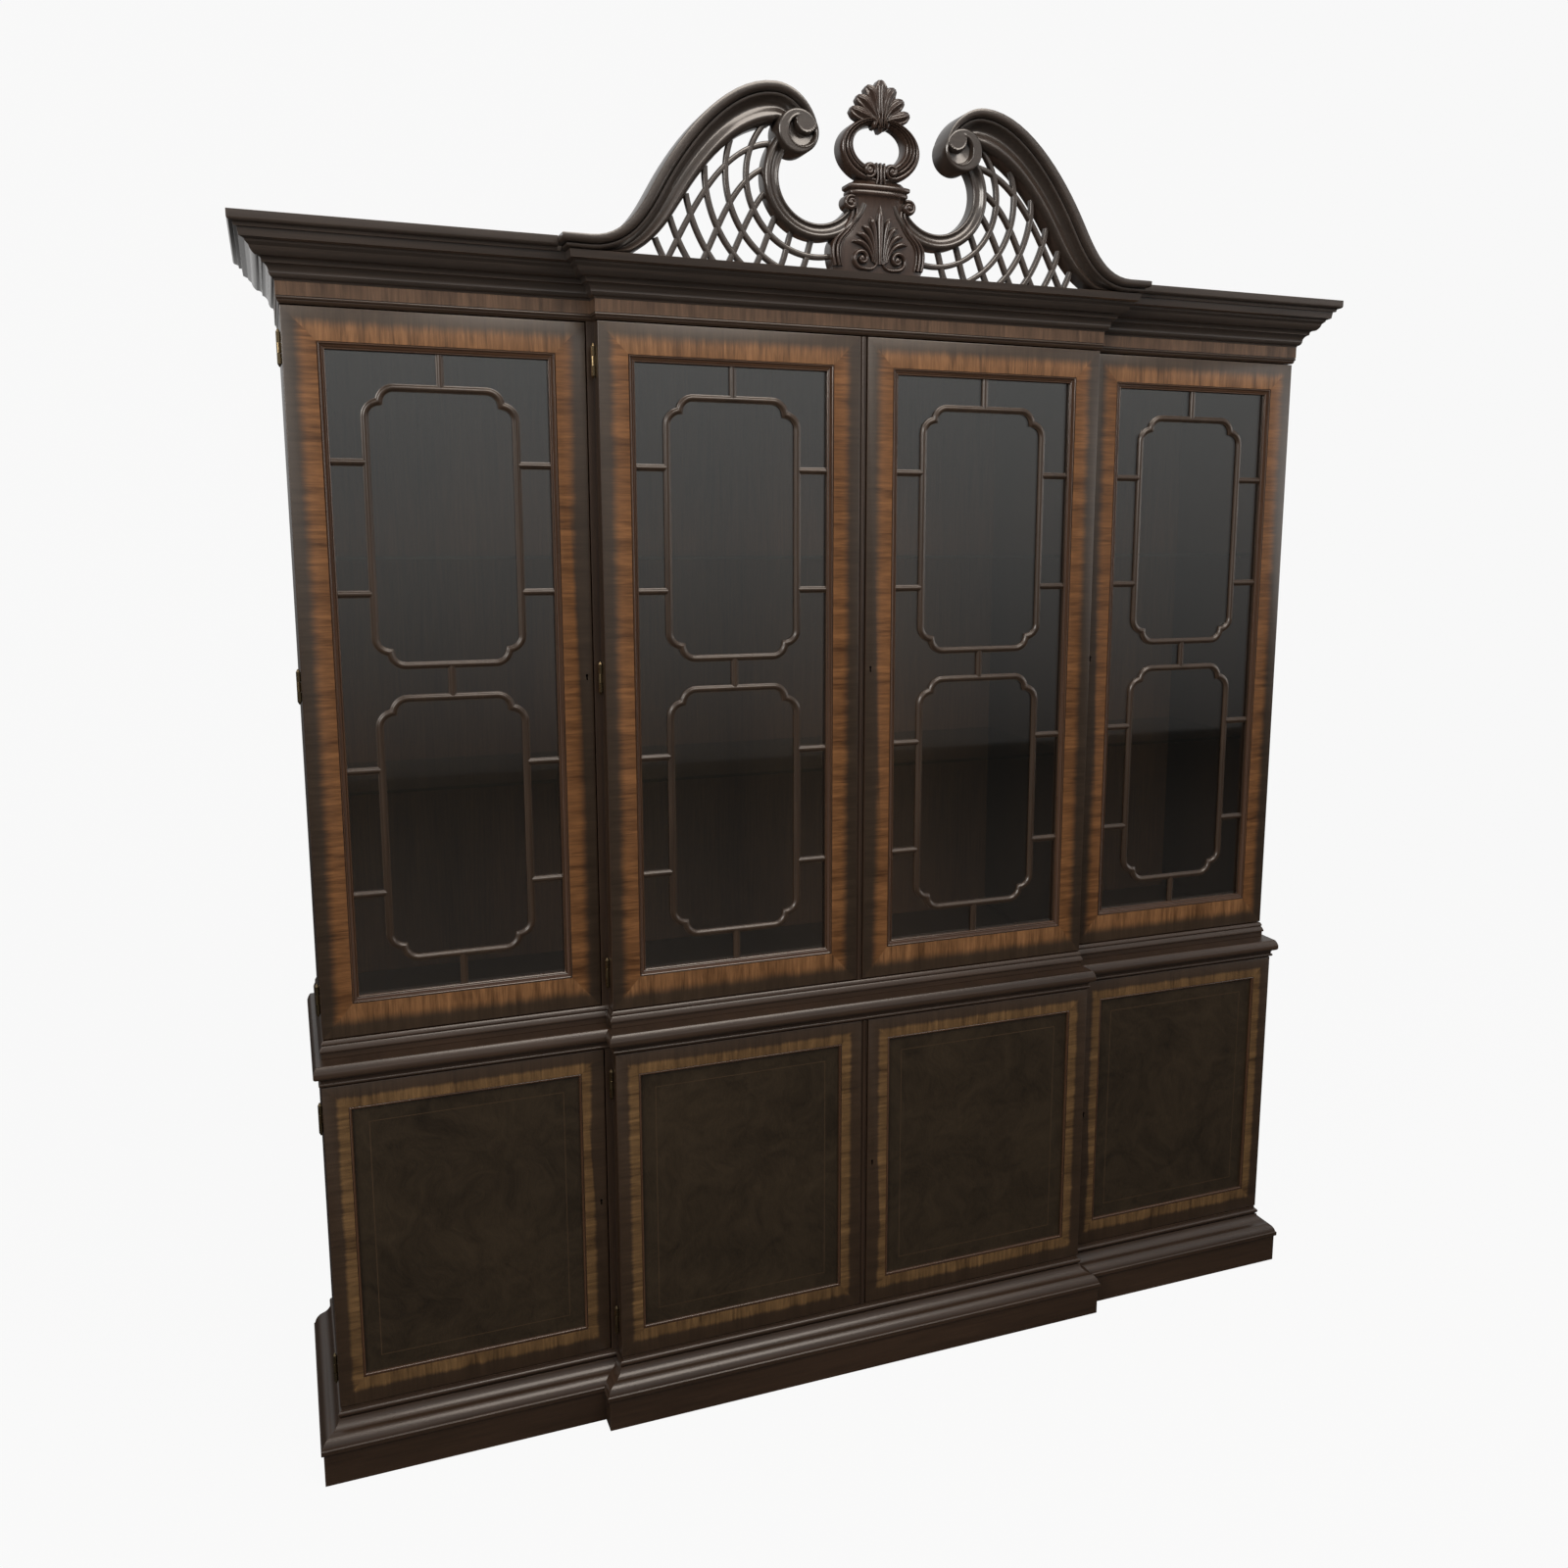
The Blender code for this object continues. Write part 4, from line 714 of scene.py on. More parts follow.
for door in doors:
    parts = frame_parts[door.tier]
    loops, across, sights[door] = frame_rows(door, *parts)
    shape = bmesh.new()
    distance = shape.verts.layers.float.new("across")
    flat = len(parts[1]) - 2             # the row of faces that carries the veneer
    rings = skin(shape, loops, closed=True, finish_of=frame_finish(flat, len(parts[2])))
    for ring, amount in zip(rings, across):
        for vert in ring:
            vert[distance] = amount
    body = f"{door.tier}_door_{door.word}"
    piece = fit(f"{body}_frame", shape, body, "mahogany",
                (upright, along_x, *veneers[door.tier], mould_upright, mould_along),
                f"{door.tier}_door_frame_{door.word}")
    if door.lock_side:
        edge = door.right if door.lock_side > 0 else door.left
        cut_away(piece, keyhole_cutter(edge - door.lock_side * keyhole_inset,
                                       (door.low + door.high) / 2, door.face))


# Cupboard door panels
# Flat panels of curl mahogany, dark with age, with a hair-thin satinwood line let in all round.
# They sit in the grooves of the cupboard doors' frames.
curl_bend, curl_span, curl_coat = (0.20, 0.0, 0.20), (0.33, 0.50, 0.68), 0.25


def curl_veneer(name, dark, light):
    """Veneer cut from a crotch: curls and clouds with a fine grain that bends with them."""
    finish, tree = new_finish(name)
    place = node(tree, "TexCoord", out="Object")
    bent = node(tree, "VectorMath", {"operation": "MULTIPLY_ADD"},
                {0: noise(tree, place, scale=5.0, detail=3, out="Color"), 1: curl_bend,
                 2: place})
    curls = noise(tree, bent, scale=17.0, detail=6, rough=0.66, bend=0.9)
    clouds = noise(tree, place, scale=4.5, detail=2)
    fine = noise(tree, bent, scale=(380, 1, 70), detail=4)
    colour = toned(tree, curls * 0.5 + clouds * 0.25 + fine * 0.25, dark, light, *curl_span)
    polish(tree, colour, 0.30 + curls * 0.12, fine * 0.6 + curls * 0.4, curl_coat,
           depth=veneer_depth)
    return finish


panel_curl = curl_veneer("curl_panels", (0.0100, 0.0065, 0.0034), (0.0345, 0.0228, 0.0118))
inlay_wood = wood("inlay_line", "x", (0.035, 0.021, 0.011), (0.070, 0.043, 0.023), wear=0.0)
line_inset, line_width = 0.0275, 0.0013
panel_front, panel_back, panel_reach = 0.0060, 0.0120, 0.0067
for door in base_doors:
    left, right, low, high = sights[door]
    shape = bmesh.new()
    rows = [[(left - g, y, low - g), (right + g, y, low - g), (right + g, y, high + g),
             (left - g, y, high + g)]
            for g, y in ((panel_reach, door.face + panel_back),
                         (panel_reach, door.face + panel_front),
                         (-line_inset, door.face + panel_front),
                         (-line_inset - line_width, door.face + panel_front))]
    skin(shape, rows, finish_of=lambda i, j: 1 if i == 2 else 0)
    fit(f"cupboard_panel_{door.word}", shape, f"base_door_{door.word}", "mahogany",
        (panel_curl, inlay_wood), f"base_panel_{door.word}")


# Glass
# Panes of clear glass, held in the grooves of the door frames, and two glass shelves to a bay,
# which rest on brass pegs.
def clear_glass(name, tint, mirror, gloss=0.02, smeared=0.03):
    """Thin clear glass: light passes straight through, and more is mirrored at a slant."""
    finish, tree = new_finish(name)
    tree.nodes.remove(tree.nodes["Principled BSDF"])
    smear = noise(tree, node(tree, "TexCoord", out="Object"), scale=9.0, detail=3)
    slant = node(tree, "LayerWeight", inputs={"Blend": 0.5}, out="Facing")
    steep = node(tree, "Math", {"operation": "POWER"}, {0: slant, 1: 5.0})
    through = node(tree, "BsdfTransparent", inputs={"Color": (*tint, 1)})
    shine = node(tree, "BsdfAnisotropic", inputs={"Color": (1, 1, 1, 1),
                                                  "Roughness": smear * smeared + gloss})
    surface = node(tree, "MixShader", inputs={0: steep * (1 - mirror) + mirror, 1: through,
                                              2: shine})
    tree.links.new(surface.socket, tree.nodes["Material Output"].inputs["Surface"])
    return finish


refinish([f"deck_pane_{door.word}" for door in deck_doors],
         clear_glass("window_glass", (0.88, 0.88, 0.85), mirror=0.14))
refinish([f"deck_shelf_{bay}_{number}" for bay in ("left", "centre", "right")
          for number in (1, 2)], clear_glass("shelf_glass", (0.80, 0.87, 0.84), mirror=0.05))


# Frets
# Slender mahogany glazing bars laid over each pane: two cusped figures one above the other,
# tied to the frame and to each other by short straight bars.
bar_half, bar_rise = 0.00625, 0.0060
bar_line = [(-bar_half, 0.0), (-bar_half, 0.0026), (-0.0050, 0.0030), (-0.0042, 0.0034),
            (-0.0034, 0.0047), (-0.0020, 0.0057), (0.0, bar_rise), (0.0020, 0.0057),
            (0.0034, 0.0047), (0.0042, 0.0034), (0.0050, 0.0030), (bar_half, 0.0026),
            (bar_half, 0.0)]
fret_margin, fret_corner, fret_sweep = 0.0565, 0.0250, math.radians(86)
tie_shares, tie_lap, end_gap, least_mitre = (0.265, 0.735), 0.0025, 0.0003, 0.5


def follow(path, line, back, closed):
    """Sweep a bar's section along a path of (x, z) points, mitred at each turn."""
    rows = []
    count = len(path)
    for i, point in enumerate(path):
        here = Vector(point)
        before = Vector(path[i - 1]) if closed or i else here
        after = Vector(path[(i + 1) % count]) if closed or i + 1 < count else here
        into, out = here - before, after - here
        into = into.normalized() if into.length else out.normalized()
        out = out.normalized() if out.length else into
        across = Vector((-into.y - out.y, into.x + out.x)).normalized()
        across /= max(across.dot(Vector((-into.y, into.x))), least_mitre)
        rows.append([(here.x + across.x * s, back - rise, here.y + across.y * s)
                     for s, rise in line])
    return rows


def cusped_figure(x0, x1, z0, z1, steps=9):
    """An upright rectangle whose corners are turned in, as two quarter rounds that meet."""
    near = fret_corner * (1 - math.cos(fret_sweep))
    far = fret_corner * math.sin(fret_sweep)
    turns = [fret_sweep * i / steps for i in range(steps + 1)]
    corner = [(fret_corner * (1 - math.cos(a)), near + far - fret_corner * math.sin(a))
              for a in turns]
    corner += [(z, x) for x, z in reversed(corner[:-1])]
    path = [(x0 + x, z0 + z) for x, z in corner]
    path += [(x1 - x, z0 + z) for x, z in reversed(corner)]
    path += [(x1 - x, z1 - z) for x, z in corner]
    path += [(x0 + x, z1 - z) for x, z in reversed(corner)]
    return path


fret_wood = wood("fret_mahogany", "z", (0.0175, 0.0106, 0.0066), (0.054, 0.0330, 0.0203),
                 rough=0.28, coat=0.20)
for door in deck_doors:
    sight_left, sight_right, sight_low, sight_high = sights[door]
    back = door.face + frame_parts["deck"][3][0]
    height = (sight_high - sight_low - 3 * fret_margin) / 2
    left, right = sight_left + fret_margin, sight_right - fret_margin
    lows = [sight_low + fret_margin + number * (height + fret_margin) for number in range(2)]
    shape = bmesh.new()
    for low in lows:
        skin(shape, follow(cusped_figure(left, right, low, low + height), bar_line, back, True),
             closed=True)
    ties = [((start, low + height * share), (end, low + height * share))
            for low in lows for share in tie_shares
            for start, end in ((sight_left + end_gap, left - tie_lap),
                               (right + tie_lap, sight_right - end_gap))]
    middle = (sight_left + sight_right) / 2
    ties += [((middle, start), (middle, end)) for start, end in (
        (sight_low + end_gap, lows[0] - tie_lap),
        (lows[0] + height + tie_lap, lows[1] - tie_lap),
        (lows[1] + height + tie_lap, sight_high - end_gap))]
    for tie in ties:
        skin(shape, follow(tie, bar_line, back, False))
    fit(f"fret_bars_{door.word}", shape, f"deck_door_{door.word}", "mahogany", (fret_wood,),
        f"fret_{door.word}", sharp=40)


# Meeting beads
# A beaded strip of mahogany covers the joint of each middle pair. It is glued to the edge of
# the left door.
bead_base, bead_half, bead_radius, bead_quirk, bead_steps = 0.0035, 0.0040, 0.0034, 0.0009, 10
for tier in ("base", "deck"):
    low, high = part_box(f"{tier}_astragal")
    middle, face = (low.x + high.x) / 2, low.y + bead_base
    outline = [(low.x, high.y), (low.x, face), (middle - bead_half, face),
               (middle - bead_radius - hair, face + bead_quirk)]
    outline += [(middle - bead_radius * math.cos(a), face - bead_radius * math.sin(a))
                for a in (math.pi * i / bead_steps for i in range(bead_steps + 1))]
    outline += [(middle + bead_radius + hair, face + bead_quirk), (middle + bead_half, face),
                (high.x, face), (high.x, high.y)]
    shape = bmesh.new()
    skin(shape, [[(x, y, z) for x, y in outline] for z in (low.z, high.z)])
    ease(fit(f"{tier}_meeting_bead", shape, f"{tier}_door_centre_left", "mahogany", (upright,),
             f"{tier}_astragal"), 2 * hair)


# Hinges and locks on the doors
# Brass butt leaves and middle knuckles, iron lock cases behind the keyholes, brass bolts and
# the brass striking plates that receive them.
def metal(name, colour, rough):
    """Brushed metal with patches of tarnish."""
    finish, tree = new_finish(name)
    place = node(tree, "TexCoord", out="Object")
    tarnish = noise(tree, place, tarnish_scale, detail=5)
    brushed = noise(tree, place, with_grain("z", across=2600, along=60), detail=2)
    polish(tree, blend(tree, tarnish, colour, shaded(colour, 0.5)),
           tarnish * 0.25 + (rough - 0.1), brushed, 0.0, depth=0.00005)
    tree.nodes["Principled BSDF"].inputs["Metallic"].default_value = 1.0
    return finish


brass = metal("brass", brass_colour, brass_rough)
iron = metal("lock_iron", (0.16, 0.145, 0.13), 0.45)
refinish([f"{door.tier}_lock_bolt_{door.word}" for door in doors if door.lock_side], brass)

hinge_inset, hinge_length, leaf, leaf_width = 0.065, 0.050, 0.0012, 0.014
knuckle_radius, pin_out, pin_behind, tongue_half = 0.0035, 0.004, 0.0015, 0.0080
screw_radius, screw_rise, screw_shares = 0.0021, 0.017, (0.24, 0.76)
lock_half, lock_long, lock_deep = 0.020, 0.030, 0.0105
strike_long, strike_out, strike_wall, strike_slot = 0.017, 0.0117, 0.0115, 0.0065
strike_gap, strike_plate, strike_foot = 0.0003, 0.0030, 0.0070
for door in doors:
    low, high = door.low + hinge_inset, door.high - hinge_inset
    middle = (door.low + door.high) / 2
    levels = (low, (low + high) / 2, high) if door.tier == "deck" else (low, high)
    edge = door.left if door.hinge_side < 0 else door.right
    back = door.face + frame_thick
    pin_x, pin_y = edge + door.hinge_side * pin_out, back + pin_behind
    shape = bmesh.new()
    for z in levels:
        block(shape, edge, edge - door.hinge_side * leaf_width, back, back + leaf,
              z - hinge_length / 2, z + hinge_length / 2)
        block(shape, pin_x, edge, back, back + leaf, z - tongue_half, z + tongue_half)
        bmesh.ops.create_cone(shape, cap_ends=True, segments=20, radius1=knuckle_radius,
                              radius2=knuckle_radius, depth=hinge_length / 3 - hair,
                              matrix=Matrix.Translation((pin_x, pin_y, z)))
        for share in screw_shares:
            for rise in (-screw_rise, screw_rise):
                bmesh.ops.create_uvsphere(
                    shape, u_segments=12, v_segments=8, radius=screw_radius,
                    matrix=Matrix.LocRotScale((edge - door.hinge_side * leaf_width * share,
                                               back + leaf, z + rise), None, (1, 0.35, 1)))
    if door.lock_side:
        end = door.right if door.lock_side > 0 else door.left
        block(shape, end - door.lock_side * 2 * hair, end - door.lock_side * lock_long, back,
              back + lock_deep, middle - lock_half, middle + lock_half, 1)
    else:
        start, tip, plate = door.right - strike_long, door.right + strike_out, back + strike_plate
        block(shape, start, tip, back + strike_gap, plate, middle - lock_half, middle + lock_half)
        for z0, z1 in ((-lock_half, -strike_slot), (strike_slot, lock_half)):
            block(shape, tip - strike_wall, tip, plate, back + lock_deep, middle + z0, middle + z1)
        block(shape, start, start + strike_foot, plate, back + lock_deep, middle - lock_half,
              middle + lock_half)
    ease(fit(f"{door.tier}_hardware_{door.word}", shape, f"{door.tier}_door_{door.word}", "brass",
             (brass, iron), sharp=50), hair, angle=60)


# Swan necks
# A scrolled moulding rises from each end of the middle cornice and curls over into a carved
# volute. Each is worked in solid mahogany: top fillet, quirk, second fillet and a long cove.
sides, pediment_foot = (("left", -1), ("right", 1)), 2.1449
neck_front, neck_back, neck_depth, mitre_reach = -0.23775, -0.17775, 0.060, 0.0440
neck_half, neck_rise, neck_face = 0.5675, 0.2735, 0.074
neck_curves = (((0.918, 0.000), (0.803, 0.000), (0.761, 0.229), (0.706, 0.415)),
               ((0.706, 0.415), (0.635, 0.656), (0.503, 1.000), (0.353, 1.000)))
neck_widths = (0.36, 0.48, 0.64, 0.74, 0.78, 0.80, 0.84, 0.90, 0.80, 0.72, 0.60, 0.40)
fillet_widths = (0.0130, 0.0140, 0.0160, 0.0172, 0.0172, 0.0168, 0.0160, 0.0150, 0.0140, 0.0120,
                 0.0090, 0.0060)
second_width, fade_start, fade_sink = 0.0075, 0.80, 0.0020
volute, volute_radius, volute_steps, volute_rings = Vector((0.158, 2.3661)), 0.037, 72, 34


def read_along(values, t):
    """Read evenly spaced values at a share of their length."""
    place = min(max(t, 0), 1) * (len(values) - 1)
    low = min(int(place), len(values) - 2)
    return values[low] + (values[low + 1] - values[low]) * (place - low)


tuck, handle, smoothing_passes, weld, volute_lap = 0.0015, 0.42, 4, 0.00001, 0.0005


def neck_line(steps=15):
    """Outer edge, inward direction and width of the face, from the foot to the volute."""
    curves = [[Vector((neck_half * x, crown_top + neck_rise * z)) for x, z in curve]
              for curve in neck_curves]
    crest, end = curves[-1][-1], volute - Vector((volute_radius - tuck, 0))
    curves.append([crest, Vector((end.x + (crest.x - end.x) * handle, crest.y)),
                   Vector((end.x, end.y + (crest.y - end.y) * handle)), end])
    points, places = [Vector((neck_half, crown_top))], [0.0]
    for number, curve in enumerate(curves):
        for i, point in enumerate(interpolate_bezier(*curve, steps)):
            if i or not number:
                points.append(point)
                # The foot is the first nineteenth of the way, and each curve six more.
                places.append((1 + 6 * (number + i / (steps - 1))) / 19)
    widths = [neck_face * read_along(neck_widths, place) for place in places]
    for _ in range(smoothing_passes):
        widths = [widths[0]] + [(a + 2 * b + c) / 4 for a, b, c in
                                zip(widths, widths[1:], widths[2:])] + [widths[-1]]
    line = []
    for i, (here, width) in enumerate(zip(points, widths)):
        along = (points[min(i + 1, len(points) - 1)] - points[max(i - 1, 0)]).normalized()
        inward = Vector((-along.y, along.x))
        if inward.y < 0:
            width = min(width, (here.y - pediment_foot) / -inward.y)
        line.append((here, inward, width, places[i]))
    return line


def neck_face_line(width, fillet):
    """Distance from the outer edge and depth behind the front, across the face."""
    second = fillet + second_width
    span = max(width - second - 0.0015, 0)
    line = [(0, neck_depth), (0, 0.0014), (0.0004, 0.0004), (0.0014, 0), (fillet * 0.62, 0.0002),
            (fillet * 0.84, 0.0014), (fillet * 0.96, 0.0042), (fillet, 0.0094),
            (fillet + 0.0008, 0.0104), (fillet + 0.0014, 0.0092), (fillet + 0.0026, 0.0080),
            (second - 0.0016, 0.0080), (second - 0.0004, 0.0090), (second, 0.0112),
            (second + 0.0008, 0.0130)]
    line += [(second + 0.0015 + span * share, depth) for share, depth in (
        (0.05, 0.0172), (0.14, 0.0216), (0.26, 0.0238), (0.38, 0.0230), (0.50, 0.0204),
        (0.62, 0.0180), (0.72, 0.0170), (0.82, 0.0180), (0.91, 0.0212), (0.97, 0.0262),
        (1.0, 0.0300))]
    return [(min(distance, width), depth) for distance, depth in line] + [(width, neck_depth)]


ring_centre, ring_reach = (-0.0066, 0.0006), 0.0255
eye_centre, eye_reach = (-0.0140, 0.0170), 0.0190
carved_depth, carved_slope, carved_wall, rim_drop = 0.0110, 0.0030, 0.0035, 0.0024
lip_height, lip_place, lip_width = 0.0007, 0.0012, 0.0009


def volute_depth(x, z):
    """Depth of the carving at a place on the volute: a ring, a deep crescent and an eye."""
    ring = ring_reach - math.dist((x, z), ring_centre)
    eye = math.dist((x, z), eye_centre) - eye_reach
    inside = min(ring, eye)
    sunk = min(max(inside / carved_wall, 0), 1)
    lip = math.exp(-((inside + lip_place) / lip_width) ** 2)
    rim = max(math.hypot(x, z) - volute_radius + carved_wall, 0) / carved_wall
    slope = min(max(ring, 0) / 0.020, 1) * (eye > 0)
    return (0.0010 + carved_depth * sunk * sunk * (3 - 2 * sunk) + carved_slope * sunk * slope
            - lip_height * lip + rim_drop * rim * rim)


neck_run = neck_line()
around = [math.tau * i / volute_steps for i in range(volute_steps)]
rings = [volute_radius * (i / volute_rings) for i in range(volute_rings, 0, -1)]
for word, side in sides:
    shape = bmesh.new()
    rows = []
    for here, inward, width, place in neck_run:
        sunk = fade_sink * min(max((place - fade_start) / (1 - fade_start), 0), 1)
        rows.append([(side * (here.x + inward.x * distance),
                      neck_front + min(depth + sunk, neck_depth), here.y + inward.y * distance)
                     for distance, depth in
                     neck_face_line(width, read_along(fillet_widths, place))])
    rows[0] = [(side * (neck_half - min(depth, mitre_reach)), neck_front + depth,
                crown_top - distance)
               for distance, depth in neck_face_line(neck_run[0][2], fillet_widths[0])]
    rows.insert(0, [(x, neck_back, z) for x, _, z in rows[0]])
    skin(shape, rows)
    bmesh.ops.remove_doubles(shape, verts=shape.verts[:], dist=weld)
    rows = [[(side * (volute.x + volute_radius * math.cos(a)), neck_back - volute_lap,
              volute.y + volute_radius * math.sin(a)) for a in around]]
    rows += [[(side * (volute.x + r * math.cos(a)),
               neck_front + volute_depth(r * math.cos(a), r * math.sin(a)),
               volute.y + r * math.sin(a)) for a in around] for r in rings]
    skin(shape, rows)
    fit(f"swan_neck_moulding_{word}", shape, "case", "mahogany", (crown_along,),
        f"swan_neck_{word}", sharp=42)


# Pierced lattice
# Under each neck a thin panel is fretted into rings round a moulded bow and bars that rise to
# it, let into the neck, the bow and the finial. Mahogany with softly rounded arrises.
bow, bow_radius, bow_width = Vector((0.116, 2.2931)), 0.101, 0.029
bow_front, bow_relief, bow_start, bow_turn, bow_steps = neck_front + 0.016, 0.76, 40, 200, 60
bow_line = ((0.0, 0.042), (0.0, 0.018), (0.02, 0.0120), (0.06, 0.0060), (0.12, 0.0022),
            (0.20, 0.0004), (0.30, 0.0), (0.38, 0.0014), (0.46, 0.0050), (0.54, 0.0078),
            (0.64, 0.0094), (0.74, 0.0096), (0.80, 0.0086), (0.83, 0.0062), (0.88, 0.0052),
            (0.94, 0.0056), (0.985, 0.0080), (1.0, 0.0120), (1.0, 0.042))
lattice_back, lattice_half, lattice_foot = neck_front + 0.041, 0.0047, pediment_foot - 0.002
lattice_line = [(-lattice_half, 0.0), (-lattice_half, 0.0080), (-0.0042, 0.0092),
                (-0.0031, 0.0099), (-0.0012, 0.0101), (0.0012, 0.0101), (0.0031, 0.0099),
                (0.0042, 0.0092), (lattice_half, 0.0080), (lattice_half, 0.0)]
# Each bar: where its foot stands, the angle of its head on the bow and its slope on arrival.
bars = ((0.384, 34, 6), (0.323, 7, 27), (0.27664, -16, 50), (0.22662, -41, 64),
        (0.18148, -63, 68), (0.140, -86, 68))
bar_slope, bar_bend, bar_let_in, bar_overrun = math.radians(62), 0.33, 0.0032, 0.10
ring_radii, ring_start, ring_sweep = [0.127 + 0.037 * k for k in range(9)], 60, 180
finial_side, neck_clear, let_in = 0.086, 0.200, 0.003
under_edge = [here + inward * width for here, inward, width, _ in neck_run
              if here.x >= neck_clear]


def under_neck(x, z):
    """True where a place lies in the open panel between neck, finial and cornice."""
    if x <= finial_side or z <= lattice_foot:
        return False
    for outer, inner in zip(under_edge, under_edge[1:]):
        if inner.x <= x <= outer.x:
            share = (x - inner.x) / (outer.x - inner.x)
            return z < inner.y + (outer.y - inner.y) * share + let_in
    return x < under_edge[-1].x and z < under_edge[-1].y + let_in


for word, side in sides:
    shape = bmesh.new()
    rows = []
    for i in range(bow_steps + 1):
        angle = math.radians(bow_start - bow_turn * i / bow_steps)
        rows.append([(side * (bow.x + (bow_radius - bow_width * share) * math.cos(angle)),
                      bow_front + depth * bow_relief,
                      bow.y + (bow_radius - bow_width * share) * math.sin(angle))
                     for share, depth in bow_line])
    skin(shape, rows)
    for radius in ring_radii:
        spots = [(bow.x + radius * math.cos(angle), bow.y + radius * math.sin(angle))
                 for angle in (math.radians(ring_start - i) for i in range(ring_sweep + 1))]
        run = [(side * x, z) for x, z in spots if under_neck(x, z)]
        if len(run) > 2:
            skin(shape, follow(run, lattice_line, lattice_back - hair, False))
    for foot_x, head, arrival in bars:
        foot, turn, land = Vector((foot_x, lattice_foot)), math.radians(head), math.radians(arrival)
        end = bow + (bow_radius - bar_let_in) * Vector((math.cos(turn), math.sin(turn)))
        reach = (end - foot).length * bar_bend
        path = interpolate_bezier(
            foot, foot + reach * Vector((-math.cos(bar_slope), math.sin(bar_slope))),
            end - reach * Vector((-math.cos(land), math.sin(land))), end, 26)
        path.append(end.lerp(bow, bar_overrun))
        skin(shape, follow([(side * p.x, p.y) for p in path], lattice_line, lattice_back, False))
    fit(f"pierced_lattice_{word}", shape, "case", "mahogany", (crown_along,), f"fretwork_{word}",
        sharp=48)


# Finial
# A cartouche carved in the solid: a vase with an acanthus fan over two scrolls, a moulded cap
# with scrolled ears, an open reeded ring and a crest of ribbed leaves. Mahogany.
finial_low, finial_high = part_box("finial")
carving_front, carving_back = finial_low.y, finial_high.y
# The finial timber is lighter and greyer than the case, and its ridges rub lighter. The ridges are
# real wear and partly a painted highlight on the carving.
finial_wood = wood("finial_mahogany", "z", (0.022, 0.0135, 0.0100), (0.058, 0.035, 0.026),
                   rough=0.22, coat=0.50, worn=(0.13, 0.088, 0.064), wear=0.8)
rib_depth, coil_taper = 0.20, 0.82


def carved(shape, path, halves, heights, bed, ribs=0, thick=0.006, across_steps=12):
    """A leaf, reed or scroll raised along a path of (x, z): rounded across, ribbed along."""
    rows, last = [], len(path) - 1
    for i, point in enumerate(path):
        before, after = Vector(path[max(i - 1, 0)]), Vector(path[min(i + 1, last)])
        along = (after - before).normalized()
        across = Vector((-along.y, along.x))
        half, height = read_along(halves, i / last), read_along(heights, i / last)
        row = []
        for k in range(across_steps + 1):
            u = -1 + 2 * k / across_steps
            swell = max(1 - u * u, 0) ** 0.5
            if ribs:
                swell *= 1 - rib_depth + rib_depth * math.cos(math.pi * ribs * u)
            row.append((point[0] + across.x * half * u, bed - height * swell,
                        point[1] + across.y * half * u))
        row.append((row[-1][0], bed + thick, row[-1][2]))
        row.append((row[0][0], bed + thick, row[0][2]))
        rows.append(row)
    skin(shape, rows)


def curved(start, first, second, end, steps=18, side=1):
    """Points of a curve, given in metres from the finial's foot, turned to one side."""
    points = interpolate_bezier(*(Vector((x, z)) for x, z in (start, first, second, end)), steps)
    return [(side * p.x, finial_low.z + p.y) for p in points]


def coiled(x, z, radius, side, start, turns=1.6, steps=40):
    """Points of a scroll that winds inwards."""
    path = []
    for i in range(steps + 1):
        t = i / steps
        angle, reach = math.radians(start) - math.tau * turns * t, radius * (1 - coil_taper * t)
        path.append((side * (x + reach * math.cos(angle)),
                     finial_low.z + z + reach * math.sin(angle)))
    return path


def boss(shape, x, z, y, radius, flat=0.6):
    """A rounded knob in the middle of a scroll."""
    bmesh.ops.create_uvsphere(shape, u_segments=20, v_segments=14, radius=radius,
                              matrix=Matrix.LocRotScale((x, y, finial_low.z + z), None,
                                                        (1, flat, 1)))


vase_line = bowed([(0.0850, 0.0000, 0.10), (0.0920, 0.0330, 0.22), (0.0800, 0.0600, -0.10),
                   (0.0585, 0.0900, -0.20), (0.0550, 0.1080)], 8)
cap_line = [(0.0550, 0.1080, 0.0), (0.0545, 0.1230, 0.0), (0.0525, 0.1262, 0.0010),
            (0.0525, 0.1298, 0.0015), (0.0546, 0.1310, 0.0038), (0.0558, 0.1328, 0.0050),
            (0.0558, 0.1368, 0.0050), (0.0550, 0.1380, 0.0044), (0.0544, 0.1392, 0.0040),
            (0.0576, 0.1406, 0.0064), (0.0590, 0.1424, 0.0076), (0.0593, 0.1450, 0.0078),
            (0.0589, 0.1476, 0.0074), (0.0570, 0.1490, 0.0058), (0.0500, 0.1498, 0.0030),
            (0.0440, 0.1560, 0.0)]
face_bed, rounding, round_power = carving_front + 0.0095, 0.0085, 3.2
shape = bmesh.new()
rows = []
for half, height, forward in [(p, z, 0.0) for p, z in vase_line] + cap_line[1:]:
    front = [(half * u, face_bed - forward + rounding * abs(u) ** round_power,
              finial_low.z + height) for u in (-1 + k / 14 for k in range(29))]
    rows.append(front + [(half, carving_back, finial_low.z + height),
                         (-half, carving_back, finial_low.z + height)])
skin(shape, rows)
